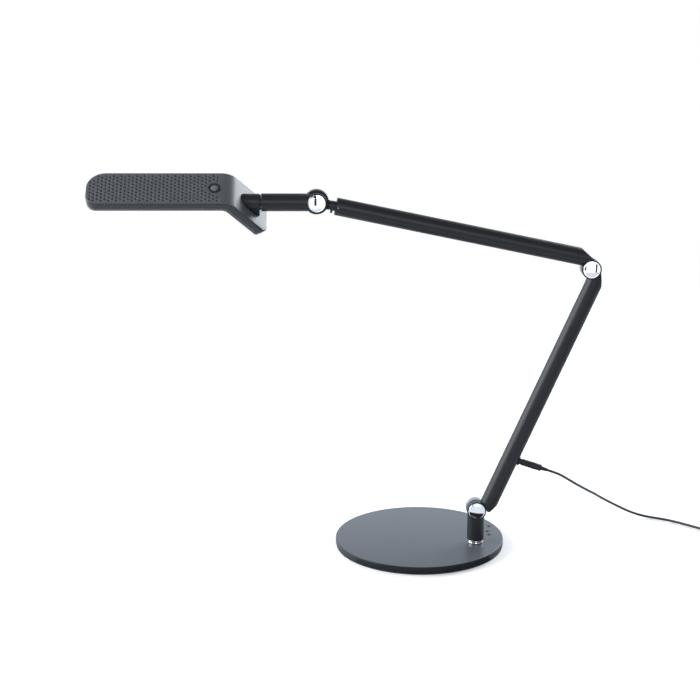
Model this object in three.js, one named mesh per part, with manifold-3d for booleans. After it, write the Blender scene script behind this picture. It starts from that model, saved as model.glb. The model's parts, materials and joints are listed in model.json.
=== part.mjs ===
// Swing arm desk lamp: a round weighted base, a short post, two folding tubular arms and a
// bent LED head on a swivelling stem. Millimetres, +Z up, origin at the middle of the underside.
import * as THREE from "three";
import { mergeVertices } from "three/addons/utils/BufferGeometryUtils.js";
import Module from "manifold-3d";

const wasm = await Module();
wasm.setup();

// ---------------------------------------------------------------- driving dimensions
const CLEARANCE = 0.3; // air between two pieces that touch or turn on each other
const EAR_ROOM = 0.4; // air around a hinge ear as it turns
const THROUGH = 1; // how far a hole's cutting body runs past the piece that it cuts
const BASE_DIAMETER = 200;
const BASE_TOP_Z = 9.7;
const COVER_WALL = 1.2;
const PAD_THICKNESS = 1.2;
const PAD_INSET = 7; // rim of the bottom plate outside the pad
const PLATE_THICKNESS = 1.2;
const PLATE_INSET = 0.4; // the plate's edge inside the cover's rim
const RIM_FOOT_Z = 0.5; // underside of the bottom plate's rim
const SEAM_Z = 3.1; // where the cover's skirt meets the bottom plate
const RIM_BEVEL = 0.6;
const WEIGHT_INSET = 2; // room between the cast weight and the cover's skirt

const POST_X = 65; // the post stands off centre
const POST_Y = -23.5;
const TUBE_DIAMETER = 20; // post, both arms and the stem
const TUBE_WALL = 1.2;
const FOOT_RING_DIAMETER = 18.6;
const FOOT_RING_HEIGHT = 3.9;
const SPINDLE_DIAMETER = 10;
const BUSH_WALL = 2.1;
const SWIVEL_NUT_DIAMETER = 17;
const SWIVEL_NUT_HEIGHT = 1.7;

const HINGE_Z = 51.5; // height of the hinge on the post
const RING_DIAMETER = 22.4; // black ring around each chrome cap
const CAP_DIAMETER = 19.8;
const CAP_PROUD = 0.3;
const CAP_THICKNESS = 1.3;
const CAP_BEVEL = 0.5;
const HINGE_DEPTH = 19; // over both ears
const WASHER_THICKNESS = 0.8;
const WASHER_INSET = 2;
const BOLT_DIAMETER = 5;
const BOLT_HEAD_DIAMETER = 8.8;
const BOLT_HEAD_HEIGHT = 2.6;
const BOLT_SOCKET_DIAMETER = 3;
const BOLT_SOCKET_DEPTH = 1.4;

const ARM_OFFSET = 11; // arm axis beside the line through its hinges, so the arms fold together
const LOWER_ARM_LENGTH = 315; // hinge to hinge
const LOWER_ARM_LEAN = 23.7; // degrees from upright at rest
const UPPER_ARM_LENGTH = 321.3; // elbow hinge to head hinge, along the arm
const UPPER_ARM_RISE = 12.3; // degrees above level at rest
const FITTING_REACH = 19.5; // hinge centre to the seam with the tube
const MITRE_START = 16.2;
const MITRE_ANGLE = 30;
const SPIGOT_LENGTH = 15;
const POST_SHOULDER = 14; // full width of the post ends this far under the hinge
const SHOULDER_NOTCH = 4.5; // keeps the lower arm off the post's shoulder when it leans back

const JACK_DISTANCE = 71.7; // hinge on the post to the power jack, along the arm
const JACK_TILT = 4.5; // degrees that the plug leans up the arm
const JACK_DIAMETER = 8.6;
const JACK_FLANGE_DIAMETER = 10.8;
const JACK_DEPTH = 9;
const JACK_STAND = 1.6; // face of the jack above the tube
const JACK_FLANGE_THICKNESS = 0.9;
const JACK_PIN_DIAMETER = 5.4;
const PLUG_LENGTH = 27;
const PLUG_DIAMETER = 8.2;
const RELIEF_LENGTH = 8;
const RELIEF_WALL = 0.9;
const CORD_DIAMETER = 3;
const WIRE_DIAMETER = 3;
const WIREWAY_DIAMETER = 5;

const NECK_DISC_DIAMETER = 27.6;
const NECK_DIAMETER = 11.2;
const NECK_GROOVE_DIAMETER = 9.6;
const NECK_SHOULDER = 15.2; // head hinge to the groove in the neck
const NECK_GROOVE_WIDTH = 1;
const ARM_END_REACH = 22; // head hinge to the end of the upper arm's tube
const ARM_PLUG_LENGTH = 24;
const NECK_SHAFT_LENGTH = 16; // inside the arm's plug
const STOP_PIN_DIAMETER = 2.6;
const STOP_PIN_FROM_GROOVE = 2;
const STOP_PIN_ROOT = 1.5; // from the neck's axis to the bottom of the pin's hole
const STOP_PIN_PROUD = 2.8;
const SET_SCREW_DIAMETER = 2.2;
const SET_SCREW_FROM_END = 2.6;
const SET_SCREW_PROUD = 0.3;

const STEM_RISE = 0.6; // degrees above level at rest
const STEM_REACH = 61.9; // head hinge to the stem's swivel end
const STEM_FITTING_REACH = 21;
const STEM_PLUG_LENGTH = 18;
const SWIVEL_GAP = 1.8;
const SWIVEL_COLLAR_DIAMETER = 17.4;
const SWIVEL_PIN_DIAMETER = 8;
const SWIVEL_SOCKET_FLOOR = 3;
const HEAD_ROLL = 38.3; // degrees that the head is rolled towards the user at rest

const HEAD_RAISE = 23.4; // flat face of the head above the stem's axis
const HEAD_WIDTH = 46;
const HEAD_END = 255; // head hinge to the rounded far end
const HEAD_CORNER = 21.5; // corner radius of the far end, away from the user
const HEAD_NEAR_CORNER = 12; // and on the user's side
const HEAD_BEND_AT = 95.7; // where the flat and the bent face would meet
const HEAD_BEND_ANGLE = 51.3;
const HEAD_BEND_RADIUS = 22;
const HEAD_TAIL_LENGTH = 63.7; // bent part, from the same place
const HEAD_TAIL_CORNER = 12; // corner radius of the tail, away from the user
const HEAD_TAIL_NEAR_CORNER = 8; // and on the user's side
const SHELL_DEPTH = 8.2;
const SHELL_WALL = 1.6;
const TRAY_DEPTH = 4.2;
const TRAY_FLOOR = 1.4;
const TRAY_INSET = 0.5; // the tray's side inside the shell's
const WINDOW_START = 125; // light window in the tray, from the head hinge
const WINDOW_MARGIN = 6.5;
const WINDOW_CORNER = 4;
const DIFFUSER_LIP = 1.6;
const DIFFUSER_THICKNESS = 1.4;
const SPREADER_THICKNESS = 1;
const LED_BOARD_THICKNESS = 1.2;
const LED_BOARD_GAP = 2.4; // light-emitting side of the board above the diffuser
const COLLAR_DROP = 8.2; // the collar's section is drawn out this far below the stem's axis
const COLLAR_DIAMETER = 19.6;

const BUTTON_AT = 113.5; // head hinge to the middle of the button
const BUTTON_DIAMETER = 8;
const BUTTON_TRAVEL = 0.6;
const BUTTON_PROUD = 1;
const BEZEL_DIAMETER = 14.4;
const BEZEL_PROUD = 0.5;
const BEZEL_LIP = 1.2;
const BUTTON_SKIRT = 1.2; // the button reaches this far under the shell's wall
const BUTTON_DOME = 0.6;
const SWITCH_LENGTH = 22;
const SWITCH_WIDTH = 14;
const SWITCH_THICKNESS = 1.4;
const SWITCH_STUD_DIAMETER = 4.8;
const SWITCH_STUD_HEIGHT = 0.8;

const BASE_SCREW_DIAMETER = 5;
const BASE_SCREW_FOOT_Z = 5;
const BASE_SCREW_HEAD_HEIGHT = 1.2;
const BASE_SCREW_SUNK = 0.2; // head below the cover's top
const BASE_SCREW_SHANK_DIAMETER = 3.8;
const BASE_SCREW_SOCKET_DIAMETER = 2.6;
const BASE_SCREW_SOCKET_DEPTH = 0.8;
const BASE_SCREWS = [
  ["base_screw_front", 84, -0.6],
  ["base_screw_middle", 83.4, 10.6],
  ["base_screw_rear", 87.5, 27.4],
];

const COIL_X = 385;
const COIL_Y = 5.5;
const COIL_RADIUS = 17.5; // middle of the turns
const COIL_BAND = 10; // section of the wound turns
const COIL_Z = 1.6;
const COIL_CHAMFER = 2;
const TIE_WALL = 1;
const TIE_WIDTH = 6;
const ADAPTER_LENGTH = 52;
const ADAPTER_WIDTH = 32;
const ADAPTER_HEIGHT = 26;
const ADAPTER_GAP = 25.5; // middle of the coil to the adapter's strain relief
const ADAPTER_RELIEF = 12;
const ADAPTER_RELIEF_Z = 6;
const ADAPTER_RELIEF_ROOT = 3.2;
const ADAPTER_RELIEF_TIP = 2.2;
const ADAPTER_CORNER = 5;
const PRONG_LENGTH = 16;
const PRONG_SPACING = 12.7;
const PRONG_THICKNESS = 1.5;
const PRONG_WIDTH = 6.4;
const PRONG_ROOT = 4; // length inside the adapter

const WIDE = 60; // sides of the base's rounds
const ROUND = 28; // sides of a full-size round
const FINE = 12; // sides of a small round
const ARC = 6; // steps in a rounded corner

// Route of the cord from its strain relief to the coil, laid by hand.
const CORD_ROUTE = [
  [149.1, -23.5, 97.9], [162, -23, 93.2], [173, -18.5, 85.4], [185, -8.5, 75.3], [200, 8, 62.5],
  [215.5, 26, 49.5], [229, 41.5, 37.5], [242.5, 55.5, 26.5], [255.5, 65.5, 17], [268, 71, 9.3],
  [280.5, 73.2, 3.9], [291.5, 70.6, 1.8], [301, 66, 1.6], [311, 60.5, 1.6], [322, 52, 1.6],
  [336, 38.5, 1.6], [347, 27.5, 1.6], [355, 17.5, 1.9], [361.5, 8.5, 3.1],
];
const TAIL_ROUTE = [[402.5, -10.9, 5.2], [402.8, -14, 5.6], [402.6, -17, 5.9], [402.5, -19.7, 6]];

// ---------------------------------------------------------------- sizes that follow
const tubeRadius = TUBE_DIAMETER / 2;
const boreRadius = tubeRadius - TUBE_WALL;
const spigotRadius = boreRadius - CLEARANCE;
const ringRadius = RING_DIAMETER / 2;
const halfDepth = HINGE_DEPTH / 2;
const earFace = WASHER_THICKNESS / 2 + CLEARANCE;
const capRadius = CAP_DIAMETER / 2;
const capSeat = halfDepth + CAP_PROUD - CAP_THICKNESS;
const headTop = capSeat - 2 * CLEARANCE;
const headSeat = headTop - BOLT_HEAD_HEIGHT;
const boltRadius = BOLT_DIAMETER / 2;
const boltHeadRadius = BOLT_HEAD_DIAMETER / 2;
const baseRadius = BASE_DIAMETER / 2;
const footRingZ = BASE_TOP_Z + CLEARANCE;
const postFootZ = footRingZ + FOOT_RING_HEIGHT + CLEARANCE;
const spindleRadius = SPINDLE_DIAMETER / 2;
const plateTopZ = PAD_THICKNESS + CLEARANCE + PLATE_THICKNESS;
const weightTopZ = BASE_TOP_Z - COVER_WALL - CLEARANCE;
const weightZ = plateTopZ + CLEARANCE;
const nutZ = weightZ + CLEARANCE;
const bushZ = nutZ + SWIVEL_NUT_HEIGHT + CLEARANCE;
const bushRadius = spindleRadius + CLEARANCE + BUSH_WALL;
const stopPinAt = NECK_SHOULDER + NECK_GROOVE_WIDTH + STOP_PIN_FROM_GROOVE;
const wireRadius = WIRE_DIAMETER / 2;
const wirewayRadius = WIREWAY_DIAMETER / 2;

// ---------------------------------------------------------------- finishes
const finish = (color, roughness, metalness) => ({ color, roughness, metalness });
const BLACK_PAINT = finish(0x2c2d31, 0.38, 0.15);
const BASE_PAINT = finish(0x3c4046, 0.34, 0.2);
const CHROME = finish(0xd8dadc, 0.08, 1);
const STEEL = finish(0x8e9094, 0.35, 1);
const CAST_IRON = finish(0x3a3b3d, 0.7, 0.6);
const RUBBER = finish(0x18191a, 0.85, 0);
const BRONZE = finish(0x8a6a3e, 0.45, 0.9);
const FIBRE = finish(0x5b3b22, 0.8, 0);
const ALUMINIUM = finish(0xb7babd, 0.4, 1);
const GREY_PLASTIC = finish(0x8b8e92, 0.45, 0);
const BLACK_PLASTIC = finish(0x1d1e20, 0.45, 0);
const FROSTED = finish(0xf2f1ec, 0.6, 0);
const BOARD = finish(0xe9e9e4, 0.5, 0);
const GREEN_BOARD = finish(0x1f5134, 0.5, 0);
const LIGHT_GREY = finish(0xb4b7bb, 0.3, 0.1);
const COPPER_WIRE = finish(0x222326, 0.6, 0);
const BRASS = finish(0xc7a14f, 0.3, 1);

// ---------------------------------------------------------------- solids
const radians = (degrees) => THREE.MathUtils.degToRad(degrees);

function toSolid(geometry) {
  const bare = geometry.clone();
  bare.deleteAttribute("normal");
  bare.deleteAttribute("uv");
  const merged = mergeVertices(bare, 1e-4);
  const mesh = new wasm.Mesh({
    numProp: 3,
    vertProperties: new Float32Array(merged.attributes.position.array),
    triVerts: new Uint32Array(merged.index.array),
  });
  return new wasm.Manifold(mesh);
}

function toGeometry(solid) {
  const { vertProperties, triVerts } = solid.getMesh();
  const geometry = new THREE.BufferGeometry();
  geometry.setAttribute("position", new THREE.BufferAttribute(new Float32Array(vertProperties), 3));
  geometry.setIndex(new THREE.BufferAttribute(new Uint32Array(triVerts), 1));
  geometry.computeVertexNormals();
  return geometry;
}

// A round bar between two places along one axis.
function rod(axis, radius, from, to, sides = ROUND, endRadius = radius) {
  const geometry = new THREE.CylinderGeometry(endRadius, radius, to - from, sides);
  geometry.translate(0, (from + to) / 2, 0);
  if (axis === "x") geometry.rotateZ(-Math.PI / 2);
  if (axis === "z") geometry.rotateX(Math.PI / 2);
  return geometry;
}

const bar = (...size) => toSolid(rod(...size));

function block(x, y, z) {
  const geometry = new THREE.BoxGeometry(x[1] - x[0], y[1] - y[0], z[1] - z[0]);
  geometry.translate((x[0] + x[1]) / 2, (y[0] + y[1]) / 2, (z[0] + z[1]) / 2);
  return toSolid(geometry);
}

// A turned piece about Z from [radius, height] pairs.
function turned(profile, sides = ROUND) {
  const points = profile.map(([radius, height]) => new THREE.Vector2(radius, height));
  const geometry = new THREE.LatheGeometry(points, sides);
  return geometry.rotateX(Math.PI / 2);
}

// A flat outline in X and Z, drawn out across Y.
function across(shape, halfWidth) {
  const depth = 2 * halfWidth;
  const geometry = new THREE.ExtrudeGeometry(shape, { depth, bevelEnabled: false, curveSegments: ARC });
  return toSolid(geometry.rotateX(Math.PI / 2).translate(0, halfWidth, 0));
}

// A flat outline in X and Y, drawn out upwards.
function upwards(shape, from, to, curveSegments = ARC) {
  const geometry = new THREE.ExtrudeGeometry(shape, { depth: to - from, bevelEnabled: false, curveSegments });
  return toSolid(geometry.translate(0, 0, from));
}

function polygon(points) {
  return new THREE.Shape(points.map(([x, y]) => new THREE.Vector2(x, y)));
}

function moved(solid, x, y, z) {
  return solid.translate([x, y, z]);
}

function part(name, shape, look) {
  const geometry = shape instanceof THREE.BufferGeometry ? shape : toGeometry(shape);
  const material = new THREE.MeshStandardMaterial(look);
  const mesh = new THREE.Mesh(geometry, material);
  mesh.name = name;
  return mesh;
}

// ---------------------------------------------------------------- hinges
// Both ears turn about Y at the origin. side -1 is the front ear, +1 the rear one.
function ear(side, radius = ringRadius) {
  const outer = halfDepth * side;
  const inner = earFace * side;
  return bar("y", radius, Math.min(outer, inner), Math.max(outer, inner));
}

function earBores(side) {
  const span = (radius, from, to, sides) => {
    const ends = [from * side, to * side].sort((a, b) => a - b);
    return bar("y", radius, ends[0], ends[1], sides);
  };
  const recess = span(capRadius + CLEARANCE, capSeat - CLEARANCE, halfDepth + THROUGH, ROUND);
  const counterbore = span(boltHeadRadius + CLEARANCE, headSeat - CLEARANCE, halfDepth, FINE);
  return recess.add(counterbore).add(span(boltRadius + CLEARANCE, 0, halfDepth, FINE));
}

// What an ear's own body loses to the ear on the other side.
function earRoom(side, radius = ringRadius) {
  const near = -(halfDepth + THROUGH) * side;
  const far = earFace * side;
  return bar("y", radius + EAR_ROOM, Math.min(near, far), Math.max(near, far));
}

function cap(name, side) {
  const outer = halfDepth + CAP_PROUD;
  const profile = [
    [0, capSeat], [capRadius, capSeat], [capRadius, outer - CAP_BEVEL],
    [capRadius - CAP_BEVEL, outer], [0, outer],
  ];
  const geometry = turned(profile, ROUND);
  geometry.rotateX(side > 0 ? -Math.PI / 2 : Math.PI / 2);
  return part(name, geometry, CHROME);
}

function bolt(name) {
  const head = bar("y", boltHeadRadius, -headTop, -headSeat, FINE);
  const socket = bar("y", BOLT_SOCKET_DIAMETER / 2, -headTop - THROUGH, -headTop + BOLT_SOCKET_DEPTH, 6);
  const shank = bar("y", boltRadius, -headSeat - BOLT_SOCKET_DEPTH / 2, headTop - CLEARANCE, FINE);
  return part(name, head.subtract(socket).add(shank), STEEL);
}

function nut(name) {
  const body = bar("y", boltHeadRadius, headSeat, headTop, 6);
  return part(name, body.subtract(bar("y", boltRadius + CLEARANCE, 0, halfDepth, FINE)), STEEL);
}

function frictionWasher(name) {
  const half = WASHER_THICKNESS / 2;
  const disc = bar("y", ringRadius - WASHER_INSET, -half, half);
  const hole = bar("y", boltRadius + CLEARANCE, -half - THROUGH, half + THROUGH, FINE);
  return part(name, disc.subtract(hole), FIBRE);
}

// End fitting of an arm: an ear at the hinge and a mitred nose that plugs into the tube along +X.
// out is the side (+1 or -1 along Z) that the tube is offset to; noseStart is where the nose begins
// in the half of the depth that the other ear takes.
function armFitting(side, out, noseStart = 0) {
  const axis = ARM_OFFSET * out;
  const reach = ARM_OFFSET + tubeRadius;
  const slope = Math.tan(radians(MITRE_ANGLE));
  const mitreZ = (x) => (reach - (MITRE_START - x) * slope) * out;
  const from = -THROUGH;
  const nose = moved(bar("x", tubeRadius, 0, FITTING_REACH), 0, 0, axis);
  const mitre = across(polygon([
    [from, mitreZ(from)], [MITRE_START + THROUGH, mitreZ(MITRE_START + THROUGH)],
    [MITRE_START, (reach + THROUGH) * out], [from, (reach + THROUGH) * out],
  ]), tubeRadius + THROUGH);
  const otherHalf = [(tubeRadius + THROUGH) * -side, earFace * side].sort((a, b) => a - b);
  const trimmed = nose.subtract(mitre).subtract(earRoom(side));
  const notched = noseStart > 0
    ? trimmed.subtract(block([from, noseStart], otherHalf, [-reach - THROUGH, reach + THROUGH]))
    : trimmed;
  const spigotEnd = FITTING_REACH + SPIGOT_LENGTH;
  const spigot = moved(bar("x", spigotRadius, FITTING_REACH - THROUGH, spigotEnd), 0, 0, axis);
  const wireway = moved(bar("x", wirewayRadius, MITRE_START, spigotEnd + THROUGH, FINE), 0, 0, axis);
  return notched.add(ear(side)).add(spigot).subtract(wireway).subtract(earBores(side));
}

// ---------------------------------------------------------------- base
function screwHoles() {
  const hole = bar("z", BASE_SCREW_DIAMETER / 2 + CLEARANCE, BASE_SCREW_FOOT_Z, BASE_TOP_Z + THROUGH, FINE);
  const holes = BASE_SCREWS.map(([, x, y]) => moved(hole, x, y, 0));
  return holes.reduce((all, one) => all.add(one));
}

// A hole on the post's axis up through the whole base.
function postHole(radius, to = BASE_TOP_Z + THROUGH) {
  return moved(bar("z", radius, 0, to), POST_X, POST_Y, 0);
}

function baseCover() {
  const inner = baseRadius - COVER_WALL;
  const shell = toSolid(turned([
    [0, BASE_TOP_Z - COVER_WALL], [inner, BASE_TOP_Z - COVER_WALL], [inner, SEAM_Z], [baseRadius, SEAM_Z],
    [baseRadius, BASE_TOP_Z - RIM_BEVEL], [baseRadius - RIM_BEVEL, BASE_TOP_Z], [0, BASE_TOP_Z],
  ], WIDE));
  return shell.subtract(postHole(spindleRadius + 2 * CLEARANCE)).subtract(screwHoles());
}

function basePlate() {
  const rim = baseRadius - PLATE_INSET;
  const padRoom = baseRadius - PAD_INSET + CLEARANCE;
  const padTop = PAD_THICKNESS + CLEARANCE;
  return turned([
    [0, padTop], [padRoom, padTop], [padRoom, RIM_FOOT_Z], [rim - PLATE_INSET, RIM_FOOT_Z],
    [rim, RIM_FOOT_Z + PLATE_INSET], [rim, plateTopZ], [0, plateTopZ],
  ], WIDE);
}

function baseWeight() {
  const disc = bar("z", baseRadius - COVER_WALL - WEIGHT_INSET, weightZ, weightTopZ, WIDE);
  const bushRoom = postHole(bushRadius + CLEARANCE);
  const nutRoom = postHole(SWIVEL_NUT_DIAMETER / 2 + THROUGH, bushZ);
  return disc.subtract(bushRoom).subtract(nutRoom).subtract(screwHoles());
}

function swivelBush() {
  const bush = bar("z", bushRadius, bushZ, weightTopZ);
  return bush.subtract(bar("z", spindleRadius + CLEARANCE, 0, BASE_TOP_Z));
}

function baseScrew() {
  const top = BASE_TOP_Z - BASE_SCREW_SUNK;
  const shank = bar("z", BASE_SCREW_SHANK_DIAMETER / 2, BASE_SCREW_FOOT_Z + CLEARANCE, top, FINE);
  const head = bar("z", BASE_SCREW_DIAMETER / 2, top - BASE_SCREW_HEAD_HEIGHT, top, FINE);
  const socket = bar("z", BASE_SCREW_SOCKET_DIAMETER / 2, top - BASE_SCREW_SOCKET_DEPTH, top + THROUGH, 6);
  return shank.add(head).subtract(socket);
}

// ---------------------------------------------------------------- post
function postTube() {
  const wide = TUBE_DIAMETER;
  const rearHalf = block([-wide, wide], [-earFace, wide], [HINGE_Z - POST_SHOULDER, HINGE_Z + wide]);
  const body = bar("z", tubeRadius, postFootZ, HINGE_Z).subtract(rearHalf);
  const frontEar = moved(ear(-1), 0, 0, HINGE_Z);
  const room = moved(earRoom(-1), 0, 0, HINGE_Z);
  const spindle = bar("z", spindleRadius, nutZ + CLEARANCE, postFootZ + THROUGH);
  return body.subtract(room).add(frontEar).add(spindle).subtract(moved(earBores(-1), 0, 0, HINGE_Z));
}

function footRing() {
  const to = footRingZ + FOOT_RING_HEIGHT;
  const hole = bar("z", spindleRadius + CLEARANCE, footRingZ - THROUGH, to + THROUGH);
  return bar("z", FOOT_RING_DIAMETER / 2, footRingZ, to).subtract(hole);
}

function swivelNut() {
  const body = bar("z", SWIVEL_NUT_DIAMETER / 2, nutZ, nutZ + SWIVEL_NUT_HEIGHT, 6);
  return body.subtract(bar("z", spindleRadius + CLEARANCE, 0, BASE_TOP_Z));
}

// ---------------------------------------------------------------- tubes
function armTube(from, to, axisZ) {
  const bore = bar("x", boreRadius, from - THROUGH, to + THROUGH);
  return moved(bar("x", tubeRadius, from, to).subtract(bore), 0, 0, axisZ);
}

// ---------------------------------------------------------------- power jack and plug
// Built along -Z from the arm's axis, then leaned and moved to its place on the arm.
function onJack(solid) {
  return moved(solid.rotate([0, -JACK_TILT, 0]), JACK_DISTANCE, 0, 0);
}

const jackFace = ARM_OFFSET + tubeRadius + JACK_STAND;
const pinEnd = jackFace - JACK_DEPTH + JACK_STAND;

function powerJack() {
  const barrel = bar("z", JACK_DIAMETER / 2, -jackFace, -(jackFace - JACK_DEPTH), FINE);
  const flange = bar("z", JACK_FLANGE_DIAMETER / 2, -jackFace, -(jackFace - JACK_FLANGE_THICKNESS), FINE);
  const bore = bar("z", JACK_PIN_DIAMETER / 2 + CLEARANCE, -jackFace - THROUGH, -(pinEnd - CLEARANCE), FINE);
  return onJack(barrel.add(flange).subtract(bore));
}

function dcPlug() {
  const start = jackFace + CLEARANCE;
  const pin = JACK_PIN_DIAMETER / 2;
  const waist = PLUG_DIAMETER / 2;
  const end = start + PLUG_LENGTH;
  const grip = [[0.78, 0], [0.95, 0.15], [1, 0.45], [0.93, 0.75], [0.71, 1]];
  const profile = [
    [0, pinEnd], [pin, pinEnd], [pin, start],
    ...grip.map(([wide, along]) => [waist * wide, start + PLUG_LENGTH * along]),
    [0, end],
  ];
  return onJack(toSolid(turned(profile, FINE).rotateX(Math.PI)));
}

function strainRelief() {
  const start = jackFace + 2 * CLEARANCE + PLUG_LENGTH;
  const thick = CORD_DIAMETER / 2 + RELIEF_WALL;
  const cone = rod("z", CORD_DIAMETER / 2 + CLEARANCE, -(start + RELIEF_LENGTH), -start, FINE, thick);
  return onJack(toSolid(cone));
}

// ---------------------------------------------------------------- neck and stem
function neckFitting() {
  const radius = NECK_DIAMETER / 2;
  const boss = bar("x", radius, -NECK_SHOULDER, 0);
  const grooveEnd = NECK_SHOULDER + NECK_GROOVE_WIDTH;
  const groove = bar("x", NECK_GROOVE_DIAMETER / 2, -grooveEnd - THROUGH, 0);
  const shaftEnd = -(ARM_END_REACH + NECK_SHAFT_LENGTH);
  const shaft = bar("x", radius, shaftEnd, -grooveEnd);
  const discRadius = NECK_DISC_DIAMETER / 2;
  const body = boss.add(groove).add(shaft).subtract(earRoom(1, discRadius)).add(ear(1, discRadius));
  const pinHole = moved(bar("z", STOP_PIN_DIAMETER / 2 + CLEARANCE, STOP_PIN_ROOT, radius + THROUGH, FINE),
    -stopPinAt, 0, 0);
  return body.subtract(earBores(1)).subtract(pinHole);
}

function armEndPlug() {
  const from = -(ARM_END_REACH + ARM_PLUG_LENGTH);
  const plug = bar("x", spigotRadius, from, -ARM_END_REACH);
  const boreEnd = -(ARM_END_REACH + NECK_SHAFT_LENGTH + 2 * CLEARANCE);
  const bore = bar("x", NECK_DIAMETER / 2 + CLEARANCE, boreEnd, 0);
  const wireway = bar("x", wirewayRadius, from - THROUGH, 0, FINE);
  return plug.subtract(bore).subtract(setScrewHole()).subtract(wireway);
}

const setScrewAt = -(ARM_END_REACH + SET_SCREW_FROM_END);

function setScrewHole() {
  const outer = tubeRadius + THROUGH;
  return moved(bar("y", SET_SCREW_DIAMETER / 2 + CLEARANCE, -outer, 0, FINE), setScrewAt, 0, 0);
}

function setScrew() {
  const inner = -(NECK_DIAMETER / 2 + 2 * CLEARANCE);
  const outer = -tubeRadius - SET_SCREW_PROUD;
  return moved(bar("y", SET_SCREW_DIAMETER / 2, outer, inner, FINE), setScrewAt, 0, 0);
}

function stemFitting() {
  const roomRadius = NECK_DISC_DIAMETER / 2;
  const body = bar("x", tubeRadius, 0, STEM_FITTING_REACH).subtract(earRoom(-1, roomRadius));
  const wide = TUBE_DIAMETER;
  const rear = block([-THROUGH, ringRadius], [-earFace, wide], [-wide, wide]);
  const spigot = bar("x", spigotRadius, STEM_FITTING_REACH - THROUGH, STEM_FITTING_REACH + SPIGOT_LENGTH);
  return body.subtract(rear).add(ear(-1)).add(spigot).subtract(earBores(-1));
}

function stemPlug() {
  const from = STEM_REACH - STEM_PLUG_LENGTH;
  const plug = bar("x", spigotRadius, from, STEM_REACH - CLEARANCE);
  const socket = bar("x", SWIVEL_PIN_DIAMETER / 2 + CLEARANCE, from + SWIVEL_SOCKET_FLOOR,
    STEM_REACH + THROUGH, FINE);
  return plug.subtract(socket);
}

// ---------------------------------------------------------------- head
// In the head's frame X runs from the head hinge to the far end, Z is out of the top face and the
// stem's axis is X itself. depth is measured down from the top face.
const bendStart = HEAD_BEND_AT + HEAD_BEND_RADIUS * Math.tan(radians(HEAD_BEND_ANGLE) / 2);
const trayTop = SHELL_DEPTH + CLEARANCE;
const trayBottom = trayTop + TRAY_DEPTH;
const lipBottom = trayBottom - TRAY_FLOOR - CLEARANCE;
const bezelNeck = BEZEL_DIAMETER / 2 - BEZEL_LIP;

function headBand(topDepth, bottomDepth, inset) {
  const bend = radians(HEAD_BEND_ANGLE);
  const centreZ = HEAD_RAISE - HEAD_BEND_RADIUS;
  const straight = HEAD_TAIL_LENGTH - HEAD_BEND_RADIUS * Math.tan(bend / 2) - inset;
  const tail = (depth) => {
    const radius = HEAD_BEND_RADIUS - depth;
    const x = bendStart - radius * Math.sin(bend) - straight * Math.cos(bend);
    const z = centreZ + radius * Math.cos(bend) - straight * Math.sin(bend);
    return [x, z];
  };
  const far = HEAD_END - inset;
  const shape = new THREE.Shape();
  shape.moveTo(far, HEAD_RAISE - topDepth);
  shape.lineTo(bendStart, HEAD_RAISE - topDepth);
  shape.absarc(bendStart, centreZ, HEAD_BEND_RADIUS - topDepth, Math.PI / 2, Math.PI / 2 + bend, false);
  shape.lineTo(...tail(topDepth));
  shape.lineTo(...tail(bottomDepth));
  shape.absarc(bendStart, centreZ, HEAD_BEND_RADIUS - bottomDepth, Math.PI / 2 + bend, Math.PI / 2, true);
  shape.lineTo(far, HEAD_RAISE - bottomDepth);
  return across(shape, HEAD_WIDTH / 2 - inset);
}

// A flat outline with corners of their own on each side, [away from the user, on the user's side].
function roundedPlan(from, to, halfWidth, fromCorners, toCorners, fromStretch = 1) {
  const [backFrom, nearFrom] = fromCorners;
  const [backTo, nearTo] = toCorners;
  const [backRun, nearRun] = fromCorners.map((corner) => corner * fromStretch);
  const shape = new THREE.Shape();
  shape.moveTo(from + backRun, -halfWidth);
  shape.lineTo(to - backTo, -halfWidth);
  shape.absarc(to - backTo, -halfWidth + backTo, backTo, -Math.PI / 2, 0, false);
  shape.lineTo(to, halfWidth - nearTo);
  shape.absarc(to - nearTo, halfWidth - nearTo, nearTo, 0, Math.PI / 2, false);
  shape.lineTo(from + nearRun, halfWidth);
  shape.absellipse(from + nearRun, halfWidth - nearFrom, nearRun, nearFrom, Math.PI / 2, Math.PI, false);
  shape.lineTo(from, -halfWidth + backFrom);
  shape.absellipse(from + backRun, -halfWidth + backFrom, backRun, backFrom, Math.PI, 1.5 * Math.PI, false);
  return shape;
}

// The head's outline in plan, over the full height, with the bent tail's corners foreshortened.
function headPlan(inset) {
  const stretch = Math.cos(radians(HEAD_BEND_ANGLE));
  const bend = radians(HEAD_BEND_ANGLE);
  const from = HEAD_BEND_AT - (HEAD_TAIL_LENGTH - inset) * Math.cos(bend);
  const lean = SHELL_DEPTH * Math.sin(bend);
  const tailCorners = [HEAD_TAIL_CORNER, HEAD_TAIL_NEAR_CORNER].map((corner) => corner - inset + lean);
  const farCorners = [HEAD_CORNER, HEAD_NEAR_CORNER].map((corner) => corner - inset);
  const shape = roundedPlan(from - THROUGH, HEAD_END - inset, HEAD_WIDTH / 2 - inset,
    tailCorners, farCorners, stretch);
  return upwards(shape, -HEAD_TAIL_LENGTH, HEAD_TAIL_LENGTH);
}

function headLayer(topDepth, bottomDepth, inset) {
  return headBand(topDepth, bottomDepth, inset).intersect(headPlan(inset));
}

function headShell() {
  const hollow = headLayer(SHELL_WALL, SHELL_DEPTH + THROUGH, SHELL_WALL);
  const bezelHole = bar("z", bezelNeck + CLEARANCE, 0, HEAD_RAISE + THROUGH);
  return headLayer(0, SHELL_DEPTH, 0).subtract(hollow).subtract(moved(bezelHole, BUTTON_AT, 0, 0));
}

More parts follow.
